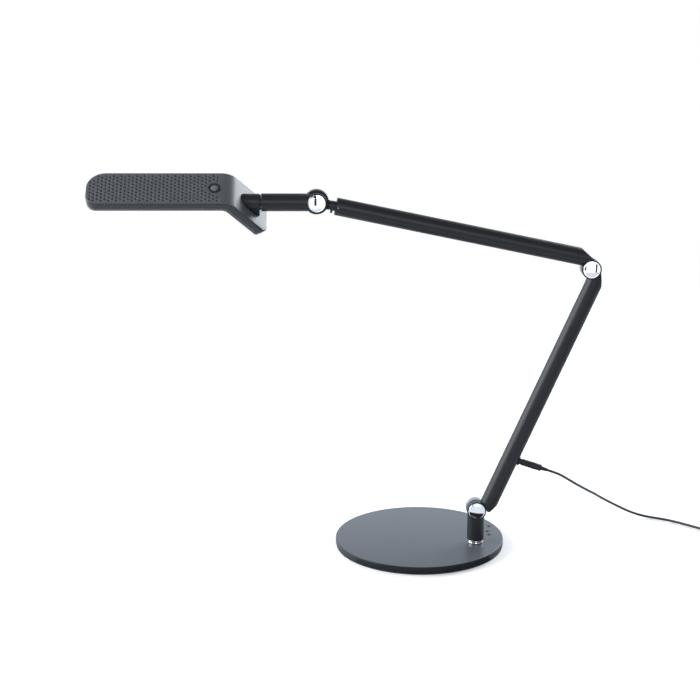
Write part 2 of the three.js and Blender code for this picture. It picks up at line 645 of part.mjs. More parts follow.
function windowPlan(margin, from, to) {
  const halfWidth = HEAD_WIDTH / 2 - WINDOW_MARGIN - margin;
  const farCorners = [HEAD_CORNER, HEAD_NEAR_CORNER].map((corner) => corner - WINDOW_MARGIN - margin);
  const shape = roundedPlan(WINDOW_START + margin, HEAD_END - WINDOW_MARGIN - margin, halfWidth,
    [WINDOW_CORNER, WINDOW_CORNER], farCorners);
  return upwards(shape, HEAD_RAISE - to, HEAD_RAISE - from);
}

function headTray() {
  const hollow = headLayer(SHELL_DEPTH - THROUGH, trayBottom - TRAY_FLOOR, TRAY_INSET + SHELL_WALL);
  const window = windowPlan(0, trayBottom - TRAY_FLOOR - THROUGH, trayBottom + THROUGH);
  return headLayer(trayTop, trayBottom, TRAY_INSET).subtract(hollow).subtract(window);
}

function diffuser() {
  const lip = windowPlan(-DIFFUSER_LIP, lipBottom - DIFFUSER_THICKNESS, lipBottom);
  return lip.add(windowPlan(CLEARANCE, lipBottom - DIFFUSER_THICKNESS / 2, trayBottom));
}

const boardBottom = lipBottom - DIFFUSER_THICKNESS - LED_BOARD_GAP;
const boardTop = boardBottom - LED_BOARD_THICKNESS;
const spreaderTop = boardTop - CLEARANCE - SPREADER_THICKNESS;

function collar() {
  const radius = COLLAR_DIAMETER / 2;
  const outline = new THREE.Shape();
  outline.absarc(0, 0, radius, 0, Math.PI, false);
  outline.absarc(0, -COLLAR_DROP, radius, Math.PI, 2 * Math.PI, false);
  const start = STEM_REACH + SWIVEL_GAP;
  const depth = HEAD_BEND_AT - start + THROUGH;
  const geometry = new THREE.ExtrudeGeometry(outline, { depth, bevelEnabled: false, curveSegments: 2 * ARC });
  geometry.rotateX(Math.PI / 2).rotateZ(Math.PI / 2).translate(start, 0, 0);
  const swivel = bar("x", SWIVEL_COLLAR_DIAMETER / 2, STEM_REACH + CLEARANCE, start + THROUGH);
  const pinFrom = STEM_REACH - STEM_PLUG_LENGTH + SWIVEL_SOCKET_FLOOR + CLEARANCE;
  const pin = bar("x", SWIVEL_PIN_DIAMETER / 2, pinFrom, start + THROUGH, FINE);
  return toSolid(geometry).subtract(headFaceRoom()).add(swivel).add(pin);
}

// Everything under the plane of the head's bent face, with a clearance above it.
function headFaceRoom() {
  const bend = radians(HEAD_BEND_ANGLE);
  const reach = 2 * HEAD_TAIL_LENGTH;
  const at = (along) => [
    HEAD_BEND_AT - CLEARANCE * Math.sin(bend) + along * Math.cos(bend),
    HEAD_RAISE + CLEARANCE * Math.cos(bend) + along * Math.sin(bend),
  ];
  const low = at(-reach);
  const high = at(reach / 2);
  return across(polygon([low, high, [high[0] + reach, high[1]], [high[0] + reach, low[1]]]), HEAD_WIDTH / 2);
}

function buttonBezel() {
  const outer = BEZEL_DIAMETER / 2;
  const bore = BUTTON_DIAMETER / 2 + CLEARANCE;
  const foot = HEAD_RAISE - SHELL_WALL;
  const seat = HEAD_RAISE + CLEARANCE / 2;
  const top = HEAD_RAISE + BEZEL_PROUD;
  const middle = (seat + top) / 2;
  return turned([
    [bore, foot], [bezelNeck, foot], [bezelNeck, seat], [outer, seat], [outer, middle],
    [outer - CLEARANCE, top], [bore + CLEARANCE, top], [bore, middle], [bore, foot],
  ], ROUND);
}

const buttonFoot = HEAD_RAISE - SHELL_WALL - BUTTON_SKIRT;

function dimmerButton() {
  const radius = BUTTON_DIAMETER / 2;
  const top = HEAD_RAISE + BUTTON_PROUD;
  const edge = top - BUTTON_DOME;
  const dome = [30, 60].map(radians);
  return turned([
    [0, buttonFoot], [radius, buttonFoot], [radius, edge],
    ...dome.map((angle) => [radius * Math.cos(angle), edge + BUTTON_DOME * Math.sin(angle)]),
    [0, top],
  ]);
}

function switchBoard() {
  const studTop = buttonFoot - BUTTON_TRAVEL - CLEARANCE;
  const top = studTop - SWITCH_STUD_HEIGHT;
  const half = SWITCH_LENGTH / 2;
  const board = block([BUTTON_AT - half, BUTTON_AT + half], [-SWITCH_WIDTH / 2, SWITCH_WIDTH / 2],
    [top - SWITCH_THICKNESS, top]);
  const stud = bar("z", SWITCH_STUD_DIAMETER / 2, top - SWITCH_THICKNESS / 2, studTop, FINE);
  return board.add(moved(stud, BUTTON_AT, 0, 0));
}

// ---------------------------------------------------------------- cord
function route(points) {
  return new THREE.CatmullRomCurve3(points.map((point) => new THREE.Vector3(...point)), false, "centripetal");
}

function cordTube(points, steps) {
  const section = new THREE.Shape();
  const radius = CORD_DIAMETER / 2;
  for (let side = 0; side < 8; side += 1) {
    const angle = (side / 8) * 2 * Math.PI;
    const place = [radius * Math.cos(angle), radius * Math.sin(angle)];
    if (side === 0) section.moveTo(...place);
    else section.lineTo(...place);
  }
  return new THREE.ExtrudeGeometry(section, { steps, bevelEnabled: false, extrudePath: route(points) });
}

function coilRing() {
  const inner = COIL_RADIUS - COIL_BAND / 2;
  const outer = COIL_RADIUS + COIL_BAND / 2;
  const top = COIL_Z + COIL_BAND;
  const cut = COIL_CHAMFER;
  return turned([
    [inner, COIL_Z + cut], [inner + cut, COIL_Z], [outer - cut, COIL_Z], [outer, COIL_Z + cut],
    [outer, top - cut], [outer - cut, top], [inner + cut, top], [inner, top - cut], [inner, COIL_Z + cut],
  ]).translate(COIL_X, COIL_Y, 0);
}

function coilTie() {
  const half = COIL_BAND / 2 + 2 * CLEARANCE; // room for the curve of the turns
  const outer = half + TIE_WALL;
  const middle = COIL_Z + COIL_BAND / 2;
  const band = block([-outer, outer], [-TIE_WIDTH / 2, TIE_WIDTH / 2], [middle - outer, middle + outer]);
  const opening = block([-half, half], [-TIE_WIDTH, TIE_WIDTH], [middle - half, middle + half]);
  return moved(band.subtract(opening).rotate([0, 0, 90]), COIL_X, COIL_Y + COIL_RADIUS, 0);
}

const tailX = COIL_X + COIL_RADIUS;
const reliefTopY = COIL_Y - ADAPTER_GAP;
const adapterY = reliefTopY - ADAPTER_RELIEF;

function wallAdapter() {
  const half = ADAPTER_WIDTH / 2;
  const corner = ADAPTER_CORNER;
  const shape = new THREE.Shape();
  shape.absarc(half - corner, corner, corner, -Math.PI / 2, 0, false);
  shape.absarc(half - corner, ADAPTER_HEIGHT - corner, corner, 0, Math.PI / 2, false);
  shape.absarc(-half + corner, ADAPTER_HEIGHT - corner, corner, Math.PI / 2, Math.PI, false);
  shape.absarc(-half + corner, corner, corner, Math.PI, 1.5 * Math.PI, false);
  const body = across(shape, ADAPTER_LENGTH / 2).translate([0, -ADAPTER_LENGTH / 2, 0]);
  const relief = bar("y", ADAPTER_RELIEF_ROOT, -THROUGH, ADAPTER_RELIEF, FINE, ADAPTER_RELIEF_TIP);
  const slot = prongShape(CLEARANCE, PRONG_ROOT);
  const slots = [-1, 1].map((side) => moved(slot, side * PRONG_SPACING / 2, 0, 0));
  const whole = body.add(moved(relief, 0, 0, ADAPTER_RELIEF_Z));
  return moved(whole.subtract(slots[0]).subtract(slots[1]), tailX, adapterY, 0);
}

function prongShape(grow, depth) {
  const middle = ADAPTER_HEIGHT / 2;
  const thick = PRONG_THICKNESS / 2 + grow;
  const wide = PRONG_WIDTH / 2 + grow;
  const ends = [-ADAPTER_LENGTH - PRONG_LENGTH, -ADAPTER_LENGTH + depth];
  return block([-thick, thick], ends, [middle - wide, middle + wide]);
}

function adapterProng(side) {
  return moved(prongShape(0, PRONG_ROOT - CLEARANCE), tailX + side * PRONG_SPACING / 2, adapterY, 0);
}

// ---------------------------------------------------------------- assembly
function buildBase() {
  const base = new THREE.Group();
  base.add(part("base_cover", baseCover(), BASE_PAINT));
  base.add(part("base_weight", baseWeight(), CAST_IRON));
  base.add(part("base_plate", basePlate(), BLACK_PAINT));
  base.add(part("base_pad", rod("z", baseRadius - PAD_INSET, 0, PAD_THICKNESS, WIDE), RUBBER));
  const bush = part("swivel_bush", swivelBush(), BRONZE);
  bush.position.set(POST_X, POST_Y, 0);
  base.add(bush);
  for (const [name, x, y] of BASE_SCREWS) {
    const screw = part(name, baseScrew(), BLACK_PAINT);
    screw.position.set(x, y, 0);
    base.add(screw);
  }
  return base;
}

function buildPost() {
  const post = new THREE.Group();
  post.position.set(POST_X, POST_Y, 0);
  post.add(part("foot_ring", footRing(), CHROME));
  post.add(part("post_tube", postTube(), BLACK_PAINT));
  post.add(part("swivel_nut", swivelNut(), STEEL));
  const hinge = new THREE.Group();
  hinge.position.z = HINGE_Z;
  hinge.add(bolt("base_hinge_bolt"), nut("base_hinge_nut"), cap("base_hinge_front_cap", -1));
  post.add(hinge);
  return post;
}

function buildLowerArm() {
  const arm = new THREE.Group();
  const jackRoom = onJack(bar("z", JACK_DIAMETER / 2 + CLEARANCE, -2 * jackFace, -ARM_OFFSET, FINE));
  const tube = armTube(FITTING_REACH + CLEARANCE, LOWER_ARM_LENGTH - FITTING_REACH - CLEARANCE, -ARM_OFFSET);
  arm.add(part("lower_arm_tube", tube.subtract(jackRoom), BLACK_PAINT));
  arm.add(part("lower_arm_bottom_fitting", armFitting(1, -1, SHOULDER_NOTCH), BLACK_PAINT));
  arm.add(frictionWasher("base_hinge_washer"), cap("base_hinge_rear_cap", 1));
  arm.add(part("power_jack", powerJack(), BLACK_PLASTIC));
  arm.add(part("dc_plug", dcPlug(), BLACK_PLASTIC));
  arm.add(part("cord_strain_relief", strainRelief(), BLACK_PLASTIC));
  const wireEnd = LOWER_ARM_LENGTH - FITTING_REACH;
  const wire = bar("x", wireRadius, JACK_DISTANCE + JACK_FLANGE_DIAMETER, wireEnd, FINE);
  arm.add(part("lower_arm_wire", moved(wire, 0, 0, -ARM_OFFSET), COPPER_WIRE));
  const top = new THREE.Group();
  top.position.x = LOWER_ARM_LENGTH;
  const fitting = part("lower_arm_top_fitting", armFitting(1, 1), BLACK_PAINT);
  fitting.rotation.y = Math.PI;
  top.add(fitting, bolt("elbow_bolt"), nut("elbow_nut"), cap("elbow_rear_cap", 1));
  arm.add(top);
  return arm;
}

function buildUpperArm() {
  const arm = new THREE.Group();
  const tube = armTube(FITTING_REACH + CLEARANCE, UPPER_ARM_LENGTH - ARM_END_REACH, -ARM_OFFSET);
  const screwHole = moved(setScrewHole(), UPPER_ARM_LENGTH, 0, -ARM_OFFSET);
  arm.add(part("upper_arm_tube", tube.subtract(screwHole), BLACK_PAINT));
  arm.add(part("upper_arm_elbow_fitting", armFitting(-1, -1), BLACK_PAINT));
  arm.add(frictionWasher("elbow_washer"), cap("elbow_front_cap", -1));
  const wireEnd = UPPER_ARM_LENGTH - ARM_END_REACH - NECK_SHAFT_LENGTH - 2 * THROUGH;
  const wire = bar("x", wireRadius, FITTING_REACH, wireEnd, FINE);
  arm.add(part("upper_arm_wire", moved(wire, 0, 0, -ARM_OFFSET), COPPER_WIRE));
  const end = new THREE.Group();
  end.position.set(UPPER_ARM_LENGTH, 0, -ARM_OFFSET);
  end.add(part("upper_arm_end_plug", armEndPlug(), BLACK_PLASTIC));
  end.add(part("neck_set_screw", setScrew(), CHROME));
  arm.add(end);
  return arm;
}

function buildNeck() {
  const neck = new THREE.Group();
  neck.add(part("neck_fitting", neckFitting(), BLACK_PAINT));
  const pinTop = NECK_DIAMETER / 2 + STOP_PIN_PROUD;
  const pin = bar("z", STOP_PIN_DIAMETER / 2, STOP_PIN_ROOT + CLEARANCE, pinTop, FINE);
  neck.add(part("neck_stop_pin", moved(pin, -stopPinAt, 0, 0), BLACK_PAINT));
  neck.add(frictionWasher("head_hinge_washer"), cap("head_hinge_rear_cap", 1));
  return neck;
}

function buildStem() {
  const stem = new THREE.Group();
  const tube = armTube(STEM_FITTING_REACH + CLEARANCE, STEM_REACH, 0);
  stem.add(part("stem_tube", tube, BLACK_PAINT));
  stem.add(part("stem_ear_fitting", stemFitting(), BLACK_PAINT));
  stem.add(part("stem_end_plug", stemPlug(), BLACK_PLASTIC));
  stem.add(bolt("head_hinge_bolt"), nut("head_hinge_nut"), cap("head_hinge_front_cap", -1));
  return stem;
}

function buildHead() {
  const head = new THREE.Group();
  head.add(part("head_collar", collar(), BLACK_PAINT));
  head.add(part("head_shell", headShell(), BASE_PAINT));
  head.add(part("head_tray", headTray(), GREY_PLASTIC));
  head.add(part("diffuser", diffuser(), FROSTED));
  head.add(part("led_board", windowPlan(1.5, boardTop, boardBottom), BOARD));
  head.add(part("heat_spreader", windowPlan(1, spreaderTop, spreaderTop + SPREADER_THICKNESS), ALUMINIUM));
  head.add(part("dimmer_switch", switchBoard(), GREEN_BOARD));
  const bezel = part("button_bezel", buttonBezel(), GREY_PLASTIC);
  const button = part("dimmer_button", dimmerButton(), LIGHT_GREY);
  bezel.position.x = BUTTON_AT;
  button.position.x = BUTTON_AT;
  head.add(bezel, button);
  return head;
}

function buildCord() {
  const cord = new THREE.Group();
  cord.add(part("cord_run", cordTube(CORD_ROUTE, 44), BLACK_PLASTIC));
  cord.add(part("cord_coil", coilRing(), BLACK_PLASTIC));
  cord.add(part("cord_tie", coilTie(), BLACK_PLASTIC));
  cord.add(part("cord_tail", cordTube(TAIL_ROUTE, 4), BLACK_PLASTIC));
  cord.add(part("wall_adapter", wallAdapter(), BLACK_PLASTIC));
  cord.add(part("adapter_prong_left", adapterProng(-1), BRASS));
  cord.add(part("adapter_prong_right", adapterProng(1), BRASS));
  return cord;
}

const lamp = new THREE.Group();
const post = buildPost();
const lowerArm = buildLowerArm();
const upperArm = buildUpperArm();
const neck = buildNeck();
const stem = buildStem();
const head = buildHead();

// Each arm points along its own +X, with its offset on -Z; the angles are turns about Y.
const lowerTurn = radians(LOWER_ARM_LEAN - 90);
const upperTurn = radians(180 + UPPER_ARM_RISE);
const stemTurn = radians(180 + STEM_RISE);
lowerArm.position.z = HINGE_Z;
lowerArm.rotation.y = lowerTurn;
upperArm.position.x = LOWER_ARM_LENGTH;
upperArm.rotation.y = upperTurn - lowerTurn;
neck.position.set(UPPER_ARM_LENGTH, 0, -ARM_OFFSET);
stem.rotation.y = stemTurn - upperTurn;
head.rotation.x = radians(180 - HEAD_ROLL);

stem.add(head);
neck.add(stem);
upperArm.add(neck);
lowerArm.add(upperArm);
post.add(lowerArm);
lamp.add(buildBase(), post, buildCord());

export default lamp;
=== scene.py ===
"""Swing arm desk lamp: the look of every piece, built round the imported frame. Metres, +Z up."""
import json
import logging
import math
from collections.abc import Callable, Sequence
from dataclasses import dataclass, field
from enum import Enum

import bmesh
import bpy
from mathutils import Matrix, Vector
from mathutils.geometry import delaunay_2d_cdt


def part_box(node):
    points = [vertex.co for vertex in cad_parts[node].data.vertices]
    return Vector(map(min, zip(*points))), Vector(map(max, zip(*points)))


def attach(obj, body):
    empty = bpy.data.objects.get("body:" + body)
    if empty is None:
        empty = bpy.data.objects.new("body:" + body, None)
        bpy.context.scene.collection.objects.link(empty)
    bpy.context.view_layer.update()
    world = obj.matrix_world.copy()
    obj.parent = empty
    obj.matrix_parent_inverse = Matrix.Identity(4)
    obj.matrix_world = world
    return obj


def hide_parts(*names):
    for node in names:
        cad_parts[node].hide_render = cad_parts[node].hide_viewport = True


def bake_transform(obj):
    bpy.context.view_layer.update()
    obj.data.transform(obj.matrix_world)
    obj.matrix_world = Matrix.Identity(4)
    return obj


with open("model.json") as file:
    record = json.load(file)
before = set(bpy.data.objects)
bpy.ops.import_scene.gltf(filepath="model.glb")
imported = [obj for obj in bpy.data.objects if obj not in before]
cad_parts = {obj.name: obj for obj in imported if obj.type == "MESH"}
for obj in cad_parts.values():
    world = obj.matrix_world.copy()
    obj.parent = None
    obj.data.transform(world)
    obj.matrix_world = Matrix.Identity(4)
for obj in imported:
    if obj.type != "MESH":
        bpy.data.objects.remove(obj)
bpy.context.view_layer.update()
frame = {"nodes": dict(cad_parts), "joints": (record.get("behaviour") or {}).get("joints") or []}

log = logging.getLogger("lamp")
Point = tuple[float, float, float]
Flat = tuple[float, float]
MM = 0.001


# ------------------------------------------------------------------ shader sockets
class Wire:
    """A shader value that can be written in ordinary arithmetic."""

    def __init__(self, tree: bpy.types.NodeTree, socket: bpy.types.NodeSocket) -> None:
        """Wraps one output.

        Args:
            tree: the node tree that the output is in.
            socket: the output itself.
        """
        self.tree = tree
        self.socket = socket

    def maths(self, operation: str, *values: "Wire | float", clamp: bool = False) -> "Wire":
        """Adds one Math node.

        Args:
            operation: the node's operation.
            values: its inputs in order, each a wire or a number.
            clamp: whether the result is held between 0 and 1.

        Returns:
            The node's result.
        """
        made = self.tree.nodes.new("ShaderNodeMath")
        made.operation = operation
        made.use_clamp = clamp
        for slot, value in zip(made.inputs, values):
            if isinstance(value, Wire):
                self.tree.links.new(value.socket, slot)
            else:
                slot.default_value = value
        return Wire(self.tree, made.outputs[0])

    def __add__(self, other: "Wire | float") -> "Wire":
        """Sum."""
        return self.maths("ADD", self, other)

    def __radd__(self, other: float) -> "Wire":
        """Sum with a number on the left."""
        return self.maths("ADD", other, self)

    def __sub__(self, other: "Wire | float") -> "Wire":
        """Difference."""
        return self.maths("SUBTRACT", self, other)

    def __rsub__(self, other: float) -> "Wire":
        """Difference with a number on the left."""
        return self.maths("SUBTRACT", other, self)

    def __mul__(self, other: "Wire | float") -> "Wire":
        """Product."""
        return self.maths("MULTIPLY", self, other)

    def __rmul__(self, other: float) -> "Wire":
        """Product with a number on the left."""
        return self.maths("MULTIPLY", other, self)

    def __truediv__(self, other: "Wire | float") -> "Wire":
        """Quotient."""
        return self.maths("DIVIDE", self, other)

    def held(self, low: float, high: float) -> "Wire":
        """The value run from 0 at low to 1 at high, and held there."""
        return ((self - low) / (high - low)).maths("ADD", (self - low) / (high - low), 0.0, clamp=True)


class Kit:
    """Nodes of one material or world, added by type."""

    def __init__(self, tree: bpy.types.NodeTree) -> None:
        """Empties the tree and starts on it.

        Args:
            tree: the node tree to fill.
        """
        self.tree = tree
        tree.nodes.clear()

    def node(self, kind: str, settings: dict[str, object] | None = None, **inputs: object) -> bpy.types.Node:
        """Adds one node.

        Args:
            kind: the node's type.
            settings: its properties, set before its inputs.
            inputs: values or wires by input name, with spaces written as underscores.

        Returns:
            The node.
        """
        made = self.tree.nodes.new(kind)
        for name, value in (settings or {}).items():
            setattr(made, name, value)
        for name, value in inputs.items():
            slot = made.inputs[name.replace("_", " ")]
            if isinstance(value, Wire):
                self.tree.links.new(value.socket, slot)
            else:
                slot.default_value = value
        return made

    def out(self, made: bpy.types.Node, name: str | int = 0) -> Wire:
        """One output of a node, as a wire."""
        return Wire(self.tree, made.outputs[name])

    def noise(self, where: Wire, scale: float, detail: float = 3.0, roughness: float = 0.55) -> Wire:
        """Soft noise over the surface, from about 0 to 1."""
        made = self.node(
            "ShaderNodeTexNoise", None, Vector=where, Scale=scale, Detail=detail, Roughness=roughness)
        return self.out(made, 0)

    def blended(self, factor: Wire, low: Sequence[float], high: Sequence[float]) -> Wire:
        """A colour between two colours."""
        made = self.node("ShaderNodeMix", {"data_type": "RGBA"})
        self.tree.links.new(factor.socket, made.inputs["Factor"])
        made.inputs[6].default_value = (*low, 1.0)
        made.inputs[7].default_value = (*high, 1.0)
        return Wire(self.tree, made.outputs[2])


class Grain(Enum):
    """The fine relief that a finish has."""

    PEEL = "fine orange peel of sprayed paint"
    MOULDED = "fine spark texture of moulded plastic"
    DRAWN = "fine lines along the piece"
    CAST = "rough sand-cast skin"
    POLISHED = "faint swirls of polishing"
    FIBROUS = "pressed fibres"


@dataclass(frozen=True)
class Finish:
    """How one kind of surface looks.

    Attributes:
        name: the material's name.
        colour: main colour, linear.
        roughness: mean roughness.
        metallic: 1 for bare metal.
        grain: which relief it has.
        depth: height of the relief in metres.
        stain: how far the colour drifts, as a share.
        swing: how far the roughness drifts.
        specular: specular level of the base layer.
        coat: clear coat weight.
        glow: light given off, for the light source only.
        slot: material slot of the record; not used.
    """

    name: str
    colour: Point
    roughness: float
    metallic: float = 0.0
    grain: Grain = Grain.PEEL
    depth: float = 0.00002
    stain: float = 0.12
    swing: float = 0.06
    specular: float = 0.5
    coat: float = 0.0
    glow: float = 0.0
    slot: str = ""

    def relief(self, kit: Kit, where: Wire) -> Wire:
        """The height pattern of the grain.

        Args:
            kit: the material's nodes.
            where: coordinates on the piece.

        Returns:
            A height from about 0 to 1.
        """
        if self.grain is Grain.PEEL:
            return kit.noise(where, 900.0, 2.0) * 0.6 + kit.noise(where, 3600.0, 2.0) * 0.4
        if self.grain is Grain.MOULDED:
            cells = kit.node("ShaderNodeTexVoronoi", {"feature": "SMOOTH_F1"}, Vector=where, Scale=1500.0)
            return kit.out(cells, "Distance") * 0.7 + kit.noise(where, 4200.0, 2.0) * 0.3
        if self.grain is Grain.DRAWN:
            drawn = kit.node("ShaderNodeMapping", None, Vector=where, Scale=(1.0, 1.0, 0.04))
            return kit.noise(kit.out(drawn), 5200.0, 3.0)
        if self.grain is Grain.CAST:
            return kit.noise(where, 420.0, 6.0, 0.7)
        if self.grain is Grain.POLISHED:
            return kit.noise(where, 260.0, 4.0, 0.6)
        fibres = kit.node("ShaderNodeMapping", None, Vector=where, Scale=(1.0, 0.2, 0.3))
        return kit.noise(kit.out(fibres), 2400.0, 5.0, 0.7)

    def material(self) -> bpy.types.Material:
        """The finish's material, made once.

        Returns:
            The material.
        """
        found = bpy.data.materials.get(self.name)
        if found is not None:
            return found
        made = bpy.data.materials.new(self.name)
        made.use_nodes = True
        kit = Kit(made.node_tree)
        where = kit.out(kit.node("ShaderNodeTexCoord"), "Object")
        broad = kit.noise(where, 38.0, 4.0)
        fine = kit.noise(where, 1300.0, 3.0)
        height = self.relief(kit, where)
        drift = (broad * 0.65 + fine * 0.35).held(0.25, 0.75)
        low = [channel * (1.0 - self.stain) for channel in self.colour]
        high = [min(1.0, channel * (1.0 + self.stain)) for channel in self.colour]
        tone = kit.blended(drift, low, high)
        rough = (broad * 0.5 + height * 0.5 - 0.5) * (2.0 * self.swing) + self.roughness
        bump = kit.node("ShaderNodeBump", None, Height=height, Distance=self.depth, Strength=0.7)
        skin = kit.node(
            "ShaderNodeBsdfPrincipled", None,
            Base_Color=tone, Roughness=rough, Metallic=self.metallic, Normal=kit.out(bump),
        )
        skin.inputs["Specular IOR Level"].default_value = self.specular
        skin.inputs["Coat Weight"].default_value = self.coat
        skin.inputs["Coat Roughness"].default_value = 0.12
        if self.glow > 0:
            skin.inputs["Emission Color"].default_value = (1.0, 0.98, 0.94, 1.0)
            skin.inputs["Emission Strength"].default_value = self.glow
        kit.node("ShaderNodeOutputMaterial", None, Surface=kit.out(skin))
        return made


# One base paint in two copies: a lit copy, brightened for the top where the white backdrop is mirrored
# (painted light), and a darker copy for the rim and plate (painted shade).
BASE_SHADED_COPY = Finish("base_paint_shaded_copy", (0.02, 0.0225, 0.026), 0.36, specular=0.4, slot="base_paint")
BASE_LIT_COPY = Finish("base_satin_lit_copy", (0.066, 0.0735, 0.083), 0.4, specular=0.5, slot="base_paint")
ARM_PAINT = Finish("arm_satin_black", (0.016, 0.0163, 0.019), 0.42, specular=0.38, slot="arm_paint")
HEAD_PAINT = Finish(
    "head_satin_grey", (0.1, 0.102, 0.112), 0.42, grain=Grain.MOULDED, depth=0.000015, slot="head_paint")
HEAD_SIDE = Finish("head_gloss_side", (0.009, 0.009, 0.011), 0.17, specular=0.5, coat=0.15, slot="head_paint")
# Darker copy of the head paint for the inside of the dimples: painted shade in the recesses.
DIMPLE_PAINTED_SHADE = Finish("head_dimple_painted_shade", (0.03, 0.03, 0.034), 0.6, grain=Grain.MOULDED, slot="head_paint")
NICKEL = Finish(
    "hinge_satin_nickel", (0.34, 0.35, 0.37), 0.34, 1.0, Grain.DRAWN, 0.000006, slot="hinge_ear")
CHROME = Finish(
    "hinge_chrome", (0.93, 0.94, 0.95), 0.05, 1.0, Grain.POLISHED, 0.000004, 0.03, 0.03, slot="chrome")
STEEL = Finish("zinc_steel", (0.5, 0.51, 0.53), 0.34, 1.0, Grain.DRAWN, 0.00001, slot="steel")
DARK_STEEL = Finish("blackened_steel", (0.06, 0.06, 0.065), 0.38, 0.6, Grain.PEEL, slot="steel")
CAST_IRON = Finish("cast_iron", (0.06, 0.06, 0.062), 0.7, 0.5, Grain.CAST, 0.0002, 0.3, slot="cast_weight")
FOAM = Finish("foam_rubber", (0.013, 0.013, 0.014), 0.85, grain=Grain.CAST, depth=0.0001, slot="rubber")
BRONZE = Finish("sintered_bronze", (0.3, 0.18, 0.07), 0.42, 1.0, Grain.CAST, 0.00004, slot="bronze")
FIBRE = Finish("pressed_fibre", (0.13, 0.055, 0.022), 0.75, 0.0, Grain.FIBROUS, 0.00004, 0.25, slot="fibre")
BLACK_PLASTIC = Finish(
    "moulded_black", (0.014, 0.014, 0.015), 0.42, 0.0, Grain.MOULDED, specular=0.4, slot="black_plastic")
GREY_PLASTIC = Finish("moulded_grey", (0.062, 0.064, 0.069), 0.36, 0.0, Grain.MOULDED, slot="grey_plastic")
RING_PLASTIC = Finish("button_ring_dark", (0.02, 0.02, 0.023), 0.25, 0.0, Grain.MOULDED, slot="grey_plastic")
BUTTON_CAP = Finish(
    "button_gloss_grey", (0.16, 0.165, 0.175), 0.22, 0.0, Grain.MOULDED, 0.000006, slot="button")
FROSTED = Finish(
    "frosted_acrylic", (0.86, 0.85, 0.82), 0.5, 0.0, Grain.MOULDED, 0.00001, 0.03, glow=0.25, slot="diffuser")
BOARD = Finish("white_board", (0.78, 0.78, 0.75), 0.45, 0.0, Grain.MOULDED, stain=0.05, slot="board")
GREEN_BOARD = Finish("green_board", (0.015, 0.09, 0.04), 0.35, 0.0, Grain.MOULDED, slot="green_board")
ALUMINIUM = Finish("plain_aluminium", (0.6, 0.61, 0.62), 0.36, 1.0, Grain.DRAWN, 0.000008, slot="aluminium")
WIRE = Finish("wire_insulation", (0.018, 0.018, 0.02), 0.5, 0.0, Grain.MOULDED, slot="wire")
BRASS = Finish("bare_brass", (0.6, 0.42, 0.13), 0.3, 1.0, Grain.DRAWN, 0.000006, slot="brass")
SHEATH = Finish("cable_sheath", (0.016, 0.016, 0.017), 0.42, 0.0, Grain.MOULDED, specular=0.45, slot="cord")


# ------------------------------------------------------------------ shaping
class Axis(Enum):
    """The line that a turned or drawn body goes along, as the order of its coordinates."""

    X = (2, 0, 1)
    Y = (0, 2, 1)
    Z = (0, 1, 2)


